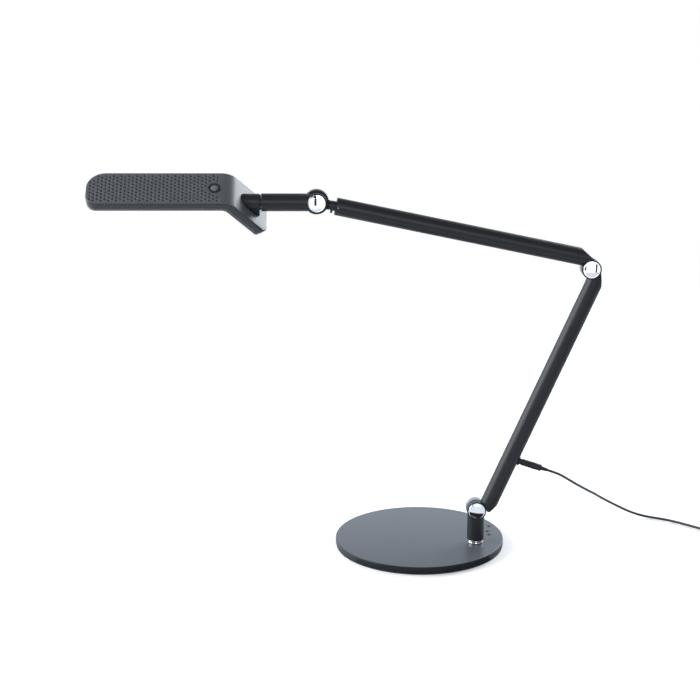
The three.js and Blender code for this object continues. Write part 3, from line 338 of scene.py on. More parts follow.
class Form:
    """A closed body while it is shaped, in millimetres, in its sub-assembly's own frame."""

    def __init__(self, mesh: bpy.types.Mesh) -> None:
        """Holds a mesh.

        Args:
            mesh: the body's mesh.
        """
        self.mesh = mesh

    @classmethod
    def of(cls, points: Sequence[Sequence[float]], faces: Sequence[Sequence[int]]) -> "Form":
        """A body from corners and faces, with its faces turned outwards.

        Args:
            points: the corners.
            faces: corner numbers of each face.

        Returns:
            The body.
        """
        mesh = bpy.data.meshes.new("form")
        mesh.from_pydata([tuple(point) for point in points], [], [list(face) for face in faces])
        work = bmesh.new()
        work.from_mesh(mesh)
        bmesh.ops.remove_doubles(work, verts=work.verts, dist=1e-5)
        bmesh.ops.recalc_face_normals(work, faces=work.faces)
        work.to_mesh(mesh)
        work.free()
        return cls(mesh)

    @classmethod
    def turned(cls, profile: Sequence[Flat], axis: Axis = Axis.Z, sides: int = 96) -> "Form":
        """A body of revolution.

        Args:
            profile: radius and distance along the axis, in order; a profile off the axis closes on itself.
            axis: the axis it turns about.
            sides: steps round it.

        Returns:
            The body.
        """
        points: list[Point] = []
        rings: list[list[int]] = []
        for radius, along in profile:
            count = 1 if radius < 1e-6 else sides
            start = len(points)
            for step in range(count):
                turn = 2 * math.pi * step / sides
                flat = (radius * math.cos(turn), radius * math.sin(turn), along)
                points.append(cls._ordered(flat, axis))
            rings.append([start + step for step in range(count)])
        pairs = list(zip(rings, rings[1:]))
        if len(rings[0]) > 1 and len(rings[-1]) > 1:
            pairs.append((rings[-1], rings[0]))
        faces = []
        for low, high in pairs:
            for step in range(sides):
                after = (step + 1) % sides
                corners = [low[step % len(low)], low[after % len(low)],
                           high[after % len(high)], high[step % len(high)]]
                faces.append(list(dict.fromkeys(corners)))
        return cls.of(points, [face for face in faces if len(face) > 2])

    @classmethod
    def rod(cls, radius: float, start: float, end: float, axis: Axis = Axis.X, sides: int = 96) -> "Form":
        """A round bar between two places along an axis."""
        return cls.turned([(0, start), (radius, start), (radius, end), (0, end)], axis, sides)

    @classmethod
    def drawn(cls, outline: Sequence[Flat], low: float, high: float, axis: Axis = Axis.Y) -> "Form":
        """A flat outline drawn out along an axis.

        Args:
            outline: its corners in order.
            low: where the body starts.
            high: where it ends.
            axis: the axis it is drawn along.

        Returns:
            The body.
        """
        count = len(outline)
        points = [cls._ordered((a, b, level), axis) for level in (low, high) for a, b in outline]
        faces: list[list[int]] = [list(range(count)), list(range(count, 2 * count))]
        faces += [[i, (i + 1) % count, count + (i + 1) % count, count + i] for i in range(count)]
        return cls.of(points, faces)

    @classmethod
    def block(cls, x: Flat, y: Flat, z: Flat) -> "Form":
        """A rectangular body between pairs of limits."""
        return cls.drawn([(x[0], y[0]), (x[1], y[0]), (x[1], y[1]), (x[0], y[1])], z[0], z[1], Axis.Z)

    @staticmethod
    def _ordered(flat: Point, axis: Axis) -> Point:
        """Coordinates put in the axis's order."""
        order = axis.value
        return (flat[order[0]], flat[order[1]], flat[order[2]])

    def moved(self, x: float = 0.0, y: float = 0.0, z: float = 0.0) -> "Form":
        """The body, shifted."""
        self.mesh.transform(Matrix.Translation((x, y, z)))
        return self

    def leaned(self, degrees: float, axis: str) -> "Form":
        """The body, turned about one axis through the origin."""
        self.mesh.transform(Matrix.Rotation(math.radians(degrees), 4, axis))
        return self

    def _held(self) -> bpy.types.Object:
        """The body as an object that modifiers can work on."""
        made = bpy.data.objects.new("form", self.mesh)
        bpy.context.scene.collection.objects.link(made)
        return made

    def _applied(self, held: bpy.types.Object) -> "Form":
        """Takes the modified mesh back and clears the object away."""
        graph = bpy.context.evaluated_depsgraph_get()
        self.mesh = bpy.data.meshes.new_from_object(held.evaluated_get(graph))
        bpy.data.objects.remove(held)
        return self

    def _with(self, other: "Form", operation: str) -> "Form":
        """Joins, cuts or meets this body with another.

        Args:
            other: the other body, which is used up.
            operation: the kind of boolean.

        Returns:
            The body itself.
        """
        held, tool = self._held(), other._held()
        work = held.modifiers.new("join", "BOOLEAN")
        work.operation = operation
        work.solver = "EXACT"
        work.object = tool
        bpy.context.view_layer.update()
        self._applied(held)
        bpy.data.objects.remove(tool)
        return self

    def less(self, *others: "Form") -> "Form":
        """The body with others cut out of it."""
        for other in others:
            self._with(other, "DIFFERENCE")
        return self

    def plus(self, *others: "Form") -> "Form":
        """The body with others joined to it."""
        for other in others:
            self._with(other, "UNION")
        return self

    def eased(self, width: float, steps: int = 2, angle: float = 32.0) -> "Form":
        """The body with its sharp edges rounded.

        Args:
            width: width of the rounding.
            steps: steps across it.
            angle: edges sharper than this many degrees are rounded.

        Returns:
            The body.
        """
        held = self._held()
        work = held.modifiers.new("ease", "BEVEL")
        work.width = width
        work.segments = steps
        work.limit_method = "ANGLE"
        work.angle_limit = math.radians(angle)
        work.miter_outer = "MITER_ARC"
        bpy.context.view_layer.update()
        return self._applied(held)

    def shown(
        self,
        name: str,
        body: str,
        place: Matrix,
        finishes: Finish | Sequence[Finish],
        replaced: Sequence[str] = (),
        sharp: float = 34.0,
        choose: Callable[[Vector, Vector], int] | None = None,
    ) -> bpy.types.Object:
        """Puts the finished body in the scene.

        Args:
            name: the piece's name.
            body: the moving body that carries it.
            place: from the sub-assembly's millimetres to the lamp's metres.
            finishes: its finish, or several that choose picks from.
            replaced: nodes of the frame that it stands for, the piece's own name if none are given.
            sharp: edges sharper than this many degrees stay crisp.
            choose: gives the number of a face's finish from its middle and its normal in millimetres.

        Returns:
            The piece.
        """
        looks = [finishes] if isinstance(finishes, Finish) else list(finishes)
        self.mesh.materials.clear()
        for look in looks:
            self.mesh.materials.append(look.material())
        if choose is not None:
            for face in self.mesh.polygons:
                face.material_index = choose(face.center.copy(), face.normal.copy())
        self.mesh.transform(place)
        self.mesh.update()
        self.mesh.shade_smooth()
        self.mesh.set_sharp_from_angle(angle=math.radians(sharp))
        self.mesh.name = name
        made = bpy.data.objects.new(name, self.mesh)
        bpy.context.scene.collection.objects.link(made)
        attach(made, body)
        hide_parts(*(replaced or [name.removeprefix("look_")]))
        log.info("%s on %s, %d faces", name, body, len(self.mesh.polygons))
        return made


def arc(middle: Flat, radius: float, start: float, end: float, steps: int) -> list[Flat]:
    """Points round part of a circle.

    Args:
        middle: its centre.
        radius: its radius.
        start: first angle in degrees.
        end: last angle in degrees.
        steps: steps between them.

    Returns:
        The points in order, both ends included.
    """
    angles = [math.radians(start + (end - start) * step / steps) for step in range(steps + 1)]
    return [(middle[0] + radius * math.cos(a), middle[1] + radius * math.sin(a)) for a in angles]


def placed(origin: Point, along: Point, up: Point) -> Matrix:
    """The matrix from a sub-assembly's millimetres to the lamp's metres.

    Args:
        origin: its origin in millimetres.
        along: direction of its X axis.
        up: direction of its Z axis.

    Returns:
        The matrix.
    """
    x, z = Vector(along).normalized(), Vector(up).normalized()
    y = z.cross(x)
    turn = Matrix((x, y, z)).transposed().to_4x4()
    return Matrix.Translation(Vector(origin) * MM) @ turn @ Matrix.Scale(MM, 4)


def bounds_of(node: str) -> tuple[Vector, Vector]:
    """Lowest and highest corners of a node of the frame, in millimetres."""
    low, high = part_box(node)
    return low / MM, high / MM


JOINTS: dict[str, Point] = {
    joint["name"]: tuple(value / MM for value in joint["pos_m"])
    for joint in frame["joints"] if "pos_m" in joint
}
AXES: dict[str, Point] = {joint["name"]: tuple(joint["axis"]) for joint in frame["joints"]}
PLAIN = Matrix.Scale(MM, 4)


# ------------------------------------------------------------------ camera and studio
@dataclass
class Studio:
    """Camera, lights and floor.

    Attributes:
        eye: the camera's place in metres.
        azimuth: degrees that it stands round from the front.
        elevation: degrees that it looks down.
        roll: degrees that it leans.
        lens: focal length for a 36 mm frame.
        paper: radius of the floor that is looked at, in metres.
        bounce: radius of the floor that glossy faces mirror.
        gear: how far in front the dark gear stands.
    """

    eye: Point = (-0.156573, -1.860173, 0.733876)
    azimuth: float = -2.29
    elevation: float = 14.822
    roll: float = -0.223
    lens: float = 85.206
    paper: float = 1.5
    bounce: float = 0.95
    gear: float = 2.05

    def camera(self) -> None:
        """Sets up the camera."""
        a, e, r = (math.radians(v) for v in (self.azimuth, self.elevation, self.roll))
        back = Vector((math.sin(a) * math.cos(e), -math.cos(a) * math.cos(e), math.sin(e)))
        side = Vector((math.cos(a), math.sin(a), 0))
        rise = back.cross(side)
        right = side * math.cos(r) + rise * math.sin(r)
        upward = rise * math.cos(r) - side * math.sin(r)
        lens = bpy.data.cameras.new("camera")
        lens.lens, lens.sensor_width, lens.sensor_fit = self.lens, 36.0, "HORIZONTAL"
        lens.clip_start, lens.clip_end = 0.05, 60.0
        made = bpy.data.objects.new("camera", lens)
        turn = Matrix((right, upward, back)).transposed().to_4x4()
        made.matrix_world = Matrix.Translation(self.eye) @ turn
        bpy.context.scene.collection.objects.link(made)
        bpy.context.scene.camera = made

    def softbox(self, name: str, at: Point, towards: Point, size: Flat,
                power: float) -> bpy.types.Object:
        """Adds one soft area light.

        Args:
            name: its name.
            at: where it stands.
            towards: the point that it faces.
            size: width and height in metres.
            power: watts.

        Returns:
            The light.
        """
        light = bpy.data.lights.new(name, "AREA")
        light.shape, light.size, light.size_y, light.energy = "RECTANGLE", size[0], size[1], power
        light.color = (0.94, 0.975, 1.0)
        made = bpy.data.objects.new(name, light)
        made.location = at
        made.rotation_euler = (Vector(towards) - Vector(at)).to_track_quat("-Z", "Y").to_euler()
        made.visible_camera = False
        bpy.context.scene.collection.objects.link(made)
        return made

    def sky(self) -> None:
        """Sets the pale surroundings: white behind, dimmer overhead and in front."""
        world = bpy.data.worlds.new("studio")
        world.use_nodes = True
        bpy.context.scene.world = world
        kit = Kit(world.node_tree)
        where = kit.out(kit.node("ShaderNodeTexCoord"), "Generated")
        split = kit.node("ShaderNodeSeparateXYZ", None, Vector=where)
        depth, height = kit.out(split, "Y"), kit.out(split, "Z")
        behind = depth.held(-0.1, 0.6)
        low = 1.0 - height.held(0.38, 0.8)
        seen = kit.out(kit.node("ShaderNodeLightPath"), "Is Camera Ray")
        lit = 0.3 + behind * low * 1.15
        strength = seen + (1.0 - seen) * lit
        tint = kit.blended(seen, (0.86, 0.95, 1.08), (1.0, 1.0, 1.0))
        glow = kit.node("ShaderNodeBackground", None, Color=tint, Strength=strength)
        kit.node("ShaderNodeOutputWorld", None, Surface=kit.out(glow))

    def floor(self) -> None:
        """Lays the pale floor: white where it is looked at, a softer grey where it is mirrored."""
        white = Finish(
            "studio_paper", (0.86, 0.86, 0.86), 0.85, stain=0.01, swing=0.02, specular=0.1, glow=0.3)
        grey = Finish("studio_bounce", (0.7, 0.72, 0.75), 0.85, stain=0.01, swing=0.02, specular=0.1)
        for name, look, looked_at in (("floor", white, True), ("floor_bounce", grey, False)):
            level = -0.0004 if looked_at else -0.0012
            wide = self.paper if looked_at else self.bounce
            corners = [(a, b, level) for a, b in arc((0, 0), wide, 0, 360 - 360 / 96, 95)]
            mesh = bpy.data.meshes.new(name)
            mesh.from_pydata(corners, [], [list(range(len(corners)))])
            mesh.materials.append(look.material())
            made = bpy.data.objects.new(name, mesh)
            made.visible_camera = looked_at
            made.visible_diffuse = made.visible_glossy = not looked_at
            made.visible_shadow = not looked_at
            bpy.context.scene.collection.objects.link(made)

    def flags(self) -> None:
        """Stands the dark studio gear in front, which only glossy faces mirror."""
        dark = Finish("studio_gear", (0.01, 0.01, 0.012), 0.9, specular=0.1)
        cards = {name: [(x[0], -self.gear, z[0]), (x[1], -self.gear, z[0]),
                        (x[1], -self.gear, z[1]), (x[0], -self.gear, z[1])]
                 for name, x, z in (("gear_stand", (-0.36, -0.1), (-0.15, 0.95)),
                                    ("gear_boom", (-0.95, -0.1), (0.72, 0.92)),
                                    ("gear_tripod", (1.02, 1.24), (-0.5, 0.55)))}
        cards["gear_mat"] = [(-0.15, -0.06, 0.002), (0.247, -0.06, 0.002), (-0.15, -0.229, 0.002)]
        for name, corners in cards.items():
            mesh = bpy.data.meshes.new(name)
            mesh.from_pydata(corners, [], [range(len(corners))])
            mesh.materials.append(dark.material())
            made = bpy.data.objects.new(name, mesh)
            made.visible_camera = made.visible_diffuse = False
            made.visible_shadow = made.visible_transmission = False
            bpy.context.scene.collection.objects.link(made)

    def build(self) -> None:
        """Builds the whole studio."""
        bpy.context.scene.view_settings.view_transform = "Standard"
        bpy.context.scene.view_settings.look = "None"
        self.camera()
        self.sky()
        self.floor()
        self.flags()
        self.softbox("softbox_left", (-2.0, -0.15, 1.0), (0.0, 0.0, 0.25), (2.0, 1.6), 64)
        self.softbox("softbox_right", (1.45, 1.35, 1.1), (-0.2, 0.0, 0.4), (1.2, 1.1), 32)
        self.softbox("softbox_front", (0.1, -2.6, 1.1), (0.0, 0.0, 0.3), (1.6, 0.7), 16)
        polished = bpy.data.collections.new("polished_caps")
        for name in ("look_base_hinge_front_cap", "look_elbow_front_cap", "look_head_hinge_front_cap"):
            polished.objects.link(bpy.data.objects[name])
        glint = self.softbox("softbox_caps", (0.0, -2.4, 0.6), (0.0, 0.0, 0.6), (5.0, 2.6), 42)
        glint.light_linking.receiver_collection = polished


# ------------------------------------------------------------------ base and post
@dataclass
class Base:
    """Round weighted base.

    Attributes:
        radius: outer radius.
        top: height of the top face.
        seam: height where the skirt meets the bottom plate.
        wall: thickness of the cover.
        post: where the post stands.
        screws: places of the three small screws.
    """

    radius: float = 100.0
    top: float = 9.7
    seam: float = 3.1
    wall: float = 1.2
    post: Flat = (65.0, -23.5)
    screws: dict[str, Flat] = field(default_factory=lambda: {
        "base_screw_front": (84.0, -0.6), "base_screw_middle": (83.4, 10.6), "base_screw_rear": (87.5, 27.4)})

    def cover(self) -> None:
        """The pressed cover with its rolled rim and holes."""
        inner = self.radius - self.wall
        rim = arc((self.radius - 0.9, self.top - 0.9), 0.9, 0, 90, 6)
        form = Form.turned([
            (0, self.top - self.wall), (inner, self.top - self.wall), (inner, self.seam),
            (self.radius - 0.25, self.seam), (self.radius, self.seam + 0.25), *rim, (0, self.top)], sides=256)
        form.less(Form.rod(5.6, 0, 20, Axis.Z).moved(*self.post))
        for x, y in self.screws.values():
            form.less(Form.turned([(0, 0), (2.8, 0), (2.8, self.top - 0.35), (3.2, self.top + 0.05),
                                   (3.2, 20), (0, 20)], sides=40).moved(x, y))
        # top in the lit copy, skirt in the darker copy: painted light and painted shade on one paint
        form.shown("look_base_cover", "base", PLAIN, [BASE_LIT_COPY, BASE_SHADED_COPY], choose=self.side)

    def side(self, middle: Vector, normal: Vector) -> int:
        """Picks the darker copy of the paint, painted shade, for the faces of the skirt."""
        return int(math.hypot(middle.x, middle.y) > self.radius - 0.45)

    def plate(self) -> None:
        """The bottom plate with its rounded edge, in the darker copy of the base paint: painted shade."""
        rim = self.radius - 0.5
        edge = arc((rim - 0.5, 1.0), 0.5, -90, 0, 4)
        form = Form.turned([(0, 1.5), (93.3, 1.5), (93.3, 0.5), *edge, (rim, 2.7), (0, 2.7)], sides=256)
        form.shown("look_base_plate", "base", PLAIN, BASE_SHADED_COPY)

    def pad(self) -> None:
        """The foam pad with shallow concentric grooves."""
        profile: list[Flat] = [(0, 1.2), (92.6, 1.2), (93.0, 0.8), (93.0, 0.2), (92.6, 0)]
        for ring in (84.0, 70.0, 56.0, 42.0, 28.0):
            profile += [(ring + 1, 0), (ring + 0.5, 0.3), (ring - 0.5, 0.3), (ring - 1, 0)]
        form = Form.turned([*profile, (0, 0)], sides=192)
        form.shown("look_base_pad", "base", PLAIN, FOAM)

    def screw_set(self) -> None:
        """The three sunk screws, each with a socket."""
        for name, (x, y) in self.screws.items():
            top = self.top - 0.2
            head = arc((1.6, top - 0.5), 0.9, 0, 80, 4)
            shank = [(0, 5.3), (1.9, 5.3), (1.9, top - 1.4), (2.5, top - 1.4)]
            form = Form.turned([*shank, *head, (0, top + 0.38)], sides=40)
            form.less(Form.rod(1.3, top - 0.8, 12, Axis.Z, 6)).moved(x, y)
            form.shown("look_" + name, "base", PLAIN, DARK_STEEL)

    def build(self) -> None:
        """Builds every piece of the base."""
        self.cover()
        self.plate()
        self.pad()
        self.screw_set()


@dataclass
class Hinge:
    """The two ears and chrome caps that every hinge is made of, turning about Y at its own origin.

    Attributes:
        ring: radius of the ear.
        cap: radius of the chrome cap.
        half: half the depth over both ears.
        face: distance of an ear's inner face from the middle.
        seat: distance of the cap's seat from the middle.
    """

    ring: float = 11.2
    cap: float = 9.9
    half: float = 9.5
    face: float = 0.7
    seat: float = 8.5

    def ear(self, side: int, radius: float = 0.0) -> Form:
        """One ear, with a turned edge.

        Args:
            side: -1 for the front ear, 1 for the rear one.
            radius: its radius, the usual ring if not given.

        Returns:
            The ear.
        """
        r = radius or self.ring
        profile = [(0.0, self.face), (r, self.face), (r, self.half), (0.0, self.half)]
        return Form.turned([(a, b * side) for a, b in profile], Axis.Y, 120)

    def bores(self, side: int) -> list[Form]:
        """The recess for the cap, the room for the bolt's head and the bolt's hole, of one ear."""
        sizes = ((self.cap + 0.25, self.seat - 0.3, self.half + 1),
                 (4.7, 5.0, self.half), (2.8, 0.0, self.half))
        return [Form.turned([(0, a * side), (r, a * side), (r, b * side), (0, b * side)], Axis.Y, 96)
                for r, a, b in sizes]

    def room(self, side: int, radius: float = 0.0) -> Form:
        """The room that an ear's own piece leaves for the other ear."""
        r = (radius or self.ring) + 0.4
        near, far = -(self.half + 1) * side, self.face * side
        return Form.turned([(0, near), (r, near), (r, far), (0, far)], Axis.Y, 120)

    def cap_piece(self, name: str, body: str, place: Matrix, side: int) -> None:
        """A polished cap with a faint dome and a turned rim.

        Args:
            name: the cap's node.
            body: the body that carries it.
            place: the hinge's place.
            side: -1 at the front, 1 at the rear.
        """
        outer = self.half + 0.3
        flat = self.cap - 0.9
        dome = [(flat - flat * t, outer - 0.05 + 1.0 * (1 - (1 - t) ** 2)) for t in
                [step / 14 for step in range(15)]]
        profile = [(0.0, self.seat), (self.cap - 0.2, self.seat), (self.cap, self.seat + 0.2),
                   *arc((self.cap - 0.45, outer - 0.45), 0.45, 0, 90, 5), *dome[:-1], (0.0, dome[-1][1])]
        form = Form.turned([(a, b * side) for a, b in profile], Axis.Y, 128)
        form.shown("look_" + name, body, place, CHROME, sharp=50)


@dataclass
class Post:
    """The post that turns in the base and carries the first hinge.

    Attributes:
        radius: radius of the post.
        foot: height of its lower end.
        hinge: its hinge.
    """

    radius: float = 10.0
    foot: float = 14.2
    hinge: Hinge = field(default_factory=Hinge)

    def place(self, height: float = 0.0) -> Matrix:
        """The post's place, or a place on its axis at a height."""
        x, y, _ = JOINTS["lower_arm_tilt"]
        return Matrix.Translation((x * MM, y * MM, height * MM)) @ PLAIN

    def tube(self) -> None:
        """The post with the front ear and the spindle."""
        height = JOINTS["lower_arm_tilt"][2]
        form = Form.rod(self.radius, self.foot, height, Axis.Z, 128)
        form.less(Form.block((-20, 20), (-self.hinge.face, 20), (height - 14, height + 20)))
        form.less(self.hinge.room(-1).moved(z=height))
        form.plus(self.hinge.ear(-1).moved(z=height))
        form.plus(Form.rod(5, 3.6, self.foot + 1, Axis.Z, 64))
        form.less(*[bore.moved(z=height) for bore in self.hinge.bores(-1)])
        form.eased(0.3).shown("look_post_tube", "post", self.place(), ARM_PAINT)

    def foot_ring(self) -> None:
        """The polished ring at the post's foot."""
        low, high = 10.0, 13.9
        outer = [*arc((8.9, low + 0.4), 0.4, -90, 0, 4), (9.3, low + 1.6),
                 (9.15, low + 1.75), (9.15, low + 2.15),
                 (9.3, low + 2.3), *arc((8.9, high - 0.4), 0.4, 0, 90, 4)]
        form = Form.turned([(5.3, low), *outer, (5.3, high)], sides=128)
        form.shown("look_foot_ring", "post", self.place(), CHROME, sharp=50)

    def build(self) -> None:
        """Builds every piece of the post that is seen."""
        self.tube()
        self.foot_ring()
        height = JOINTS["lower_arm_tilt"][2]
        self.hinge.cap_piece("base_hinge_front_cap", "post", self.place(height), -1)


# ------------------------------------------------------------------ arms
@dataclass
class Arm:
    """What the two arms share: a tube beside the line through its hinges, and mitred end fittings.

    Attributes:
        offset: distance of the tube's axis from the hinge line.
        radius: radius of the tube.
        bore: radius of its bore.
        reach: distance from a hinge to the seam with the tube.
        mitre: where the mitre starts, from the hinge.
        hinge: the hinge that its ends are made for.
    """

    offset: float = 11.0
    radius: float = 10.0
    bore: float = 8.8
    reach: float = 19.5
    mitre: float = 16.2
    hinge: Hinge = field(default_factory=Hinge)

    def fitting(self, side: int, out: int, nose_start: float = 0.0) -> Form:
        """An end fitting: an ear and a mitred nose with its spigot, along X from the hinge.

        Args:
            side: -1 for a front ear, 1 for a rear one.
            out: the side along Z that the tube stands on.
            nose_start: where the nose begins in the other ear's half.

        Returns:
            The fitting.
        """
        axis, slope, full = self.offset * out, math.tan(math.radians(30)), self.offset + self.radius
        corner = [(x, (full - (self.mitre - x) * slope) * out) for x in (-3.0, self.mitre + 2)]
        form = Form.rod(self.radius, 0, self.reach, Axis.X, 128).moved(z=axis)
        form.less(Form.drawn([*corner, (self.mitre, (full + 1) * out), (-3.0, (full + 1) * out)], -12, 12))
        form.less(self.hinge.room(side))
        if nose_start:
            ends = sorted((-12.0 * side, self.hinge.face * side))
            form.less(Form.block((-1, nose_start), (ends[0], ends[1]), (-30, 30)))
        form.plus(self.hinge.ear(side))
        form.plus(Form.rod(self.bore - 0.3, self.reach - 1, self.reach + 15, Axis.X, 64).moved(z=axis))
        wireway = Form.rod(2.5, self.mitre, self.reach + 16, Axis.X, 32).moved(z=axis)
        form.less(wireway, *self.hinge.bores(side))
        return form.eased(0.16)

    def tube(self, start: float, end: float, axis: float) -> Form:
        """A tube with eased ends."""
        r, b, e = self.radius, self.bore, 0.1
        form = Form.turned([(b, start), (r - e, start), (r, start + e), (r, end - e), (r - e, end), (b, end)],
                           Axis.X, 160)
        return form.moved(z=axis)

    def barrel(self, side: int) -> Callable[[Vector, Vector], int]:
        """Picks the bare metal finish for the round side of an ear, and paint for the rest."""
        def pick(middle: Vector, normal: Vector) -> int:
            """The finish number of one face."""
            far = math.hypot(middle.x, middle.z)
            return int(abs(far - self.hinge.ring) < 0.45 and middle.y * side > 0.6)
        return pick


@dataclass
class LowerArm(Arm):
    """The arm on the post, with the power jack.

    Attributes:
        length: hinge to hinge.
        jack_at: distance of the power jack from the lower hinge.
        jack_lean: degrees that the plug leans up the arm.
    """

    length: float = 315.0
    jack_at: float = 71.7
    jack_lean: float = 4.5

    def __post_init__(self) -> None:
        """Works out the arm's place from its two hinges."""
        low, high = Vector(JOINTS["lower_arm_tilt"]), Vector(JOINTS["elbow_tilt"])
        along = (high - low).normalized()
        self.place = placed(tuple(low), tuple(along), (-along.z, 0, along.x))
        self.top_place = placed(tuple(high), tuple(-along), (along.z, 0, -along.x))

    def fittings(self) -> None:
        """Both end fittings, with bare metal barrels."""
        looks = [ARM_PAINT, NICKEL]
        low = self.fitting(1, -1, 4.5)
        low.shown("look_lower_arm_bottom_fitting", "lower_arm", self.place, looks, choose=self.barrel(1))
        high = self.fitting(1, 1)
        high.shown("look_lower_arm_top_fitting", "lower_arm", self.top_place, looks, choose=self.barrel(1))

    def on_jack(self, form: Form) -> Form:
        """Puts a body made along -Z at the jack's place on the arm."""
        return form.leaned(self.jack_lean * -1, "Y").moved(self.jack_at)

    def jack(self) -> None:
        """The power jack with its flange, the plug with its grip, and the strain relief."""
        face = self.offset + self.radius + 1.6
        start = face + 0.3
        form = Form.turned([(3.0, -face), (4.9, -face), (5.4, -(face - 0.25)), (5.4, -(face - 0.9)),
                            (4.3, -(face - 0.9)), (4.3, -(face - 9)), (0, -(face - 9)), (0, -(face - 7.7)),
                            (3.0, -(face - 7.7))], sides=64)
        self.on_jack(form).shown("look_power_jack", "lower_arm", self.place, BLACK_PLASTIC)
        grip = [(3.05, 0.0), (3.35, 0.35), (3.55, 2.5), (3.9, 4.0)]
        for rib in range(6):
            at = 5.0 + 1.7 * rib
            grip += [(4.05, at), (4.05, at + 0.75), (3.75, at + 0.95), (3.75, at + 1.5)]
        grip += [(4.1, 15.6), (4.0, 20.0), (3.85, 24.4), (4.0, 25.0), (4.0, 26.3), (3.6, 27.0)]
        plug = Form.turned([(0, -(face - 7.3)), (2.6, -(face - 7.3)), (2.7, -(face - 7.1)), (2.7, -start),
                            *[(r, -(start + a)) for r, a in grip], (0, -(start + 27))], sides=64)
        self.on_jack(plug).shown("look_dc_plug", "lower_arm", self.place, BLACK_PLASTIC)
        base = start + 27.3
        relief: list[Flat] = [(0, -base), (2.4, -base)]
        for ring in range(4):
            wide, at = 2.45 - 0.14 * ring, base + 0.3 + 1.8 * ring
            relief += [(wide, -at), (wide, -(at + 1.05)),
                       (wide - 0.4, -(at + 1.2)), (wide - 0.42, -(at + 1.65))]
        relief += [(1.85, -(base + 7.8)), (1.7, -(base + 8)), (0, -(base + 8))]
        self.on_jack(Form.turned(relief, sides=48)).shown(
            "look_cord_strain_relief", "lower_arm", self.place, BLACK_PLASTIC)

    def build(self) -> None:
        """Builds every piece of the lower arm that is seen."""
        form = self.tube(self.reach + 0.06, self.length - self.reach - 0.06, -self.offset)
        form.less(self.on_jack(Form.rod(4.6, -60, -self.offset, Axis.Z, 64)))
        form.shown("look_lower_arm_tube", "lower_arm", self.place, ARM_PAINT)
        self.fittings()
        self.jack()
        self.hinge.cap_piece("base_hinge_rear_cap", "lower_arm", self.place, 1)
        self.hinge.cap_piece("elbow_rear_cap", "lower_arm", self.top_place, 1)


@dataclass
class UpperArm(Arm):
    """The arm from the elbow to the head.

    Attributes:
        length: elbow to head hinge, along the arm.
        end: distance from the head hinge to the end of the tube.
    """

    length: float = 321.3
    end: float = 22.0

    def __post_init__(self) -> None:
        """Works out the arm's place from its joints."""
        along = -Vector(AXES["neck_roll"]) if AXES["neck_roll"][0] > 0 else Vector(AXES["neck_roll"])
        up = (-along.z, 0, along.x)
        self.place = placed(JOINTS["elbow_tilt"], tuple(along), up)
        self.end_place = placed(JOINTS["neck_roll"], tuple(along), up)

    def build(self) -> None:
        """Builds every piece of the upper arm that is seen."""
        hole = Form.rod(1.4, -20, 0, Axis.Y, 32).moved(-24.6)
        tube = self.tube(self.reach + 0.06, self.length - self.end, -self.offset)
        tube.less(hole.moved(self.length, 0, -self.offset))
        tube.shown("look_upper_arm_tube", "upper_arm", self.place, ARM_PAINT)
        self.fitting(-1, -1).shown("look_upper_arm_elbow_fitting", "upper_arm", self.place, ARM_PAINT)
        self.hinge.cap_piece("elbow_front_cap", "upper_arm", self.place, -1)
        plug = Form.rod(8.5, -46, -22, Axis.X, 96).less(
            Form.rod(5.9, -38.6, 0, Axis.X, 64), Form.rod(2.5, -48, -30, Axis.X, 32),
            Form.rod(1.4, -20, 0, Axis.Y, 32).moved(-24.6)).eased(0.3)
        plug.shown("look_upper_arm_end_plug", "upper_arm", self.end_place, BLACK_PLASTIC)
        screw = Form.turned([(0, -6.2), (1.1, -6.2), (1.1, -9.9), (0.85, -10.25), (0, -10.3)], Axis.Y, 32)
        screw.less(Form.rod(0.5, -11, -9.6, Axis.Y, 6)).moved(-24.6)
        screw.shown("look_neck_set_screw", "upper_arm", self.end_place, STEEL)


# ------------------------------------------------------------------ neck and stem
@dataclass
class Neck:
    """The large disc at the head hinge, with the shaft that turns in the upper arm.

    Attributes:
        disc: radius of the disc.
        shaft: radius of the shaft.
        hinge: the head hinge.
    """

    disc: float = 13.8
    shaft: float = 5.6
    hinge: Hinge = field(default_factory=Hinge)

    def build(self, place: Matrix) -> None:
        """Builds the neck.

        Args:
            place: the head hinge's place along the upper arm.
        """
        form = Form.rod(self.shaft, -15.2, 0, Axis.X).plus(
            Form.rod(4.8, -17.2, 0, Axis.X, 64), Form.rod(self.shaft, -38, -16.2, Axis.X))
        form.less(self.hinge.room(1, self.disc)).plus(self.hinge.ear(1, self.disc))
        form.less(Form.rod(1.6, 1.5, 20, Axis.Z, 32).moved(-18.2), *self.hinge.bores(1)).eased(0.3)
        form.shown("look_neck_fitting", "neck", place, ARM_PAINT)
        pin = Form.turned([(0, 1.8), (1.3, 1.8), (1.3, 8.0), (1.0, 8.4), (0, 8.4)], sides=32).moved(-18.2)
        pin.shown("look_neck_stop_pin", "neck", place, DARK_STEEL)
        self.hinge.cap_piece("head_hinge_rear_cap", "neck", place, 1)


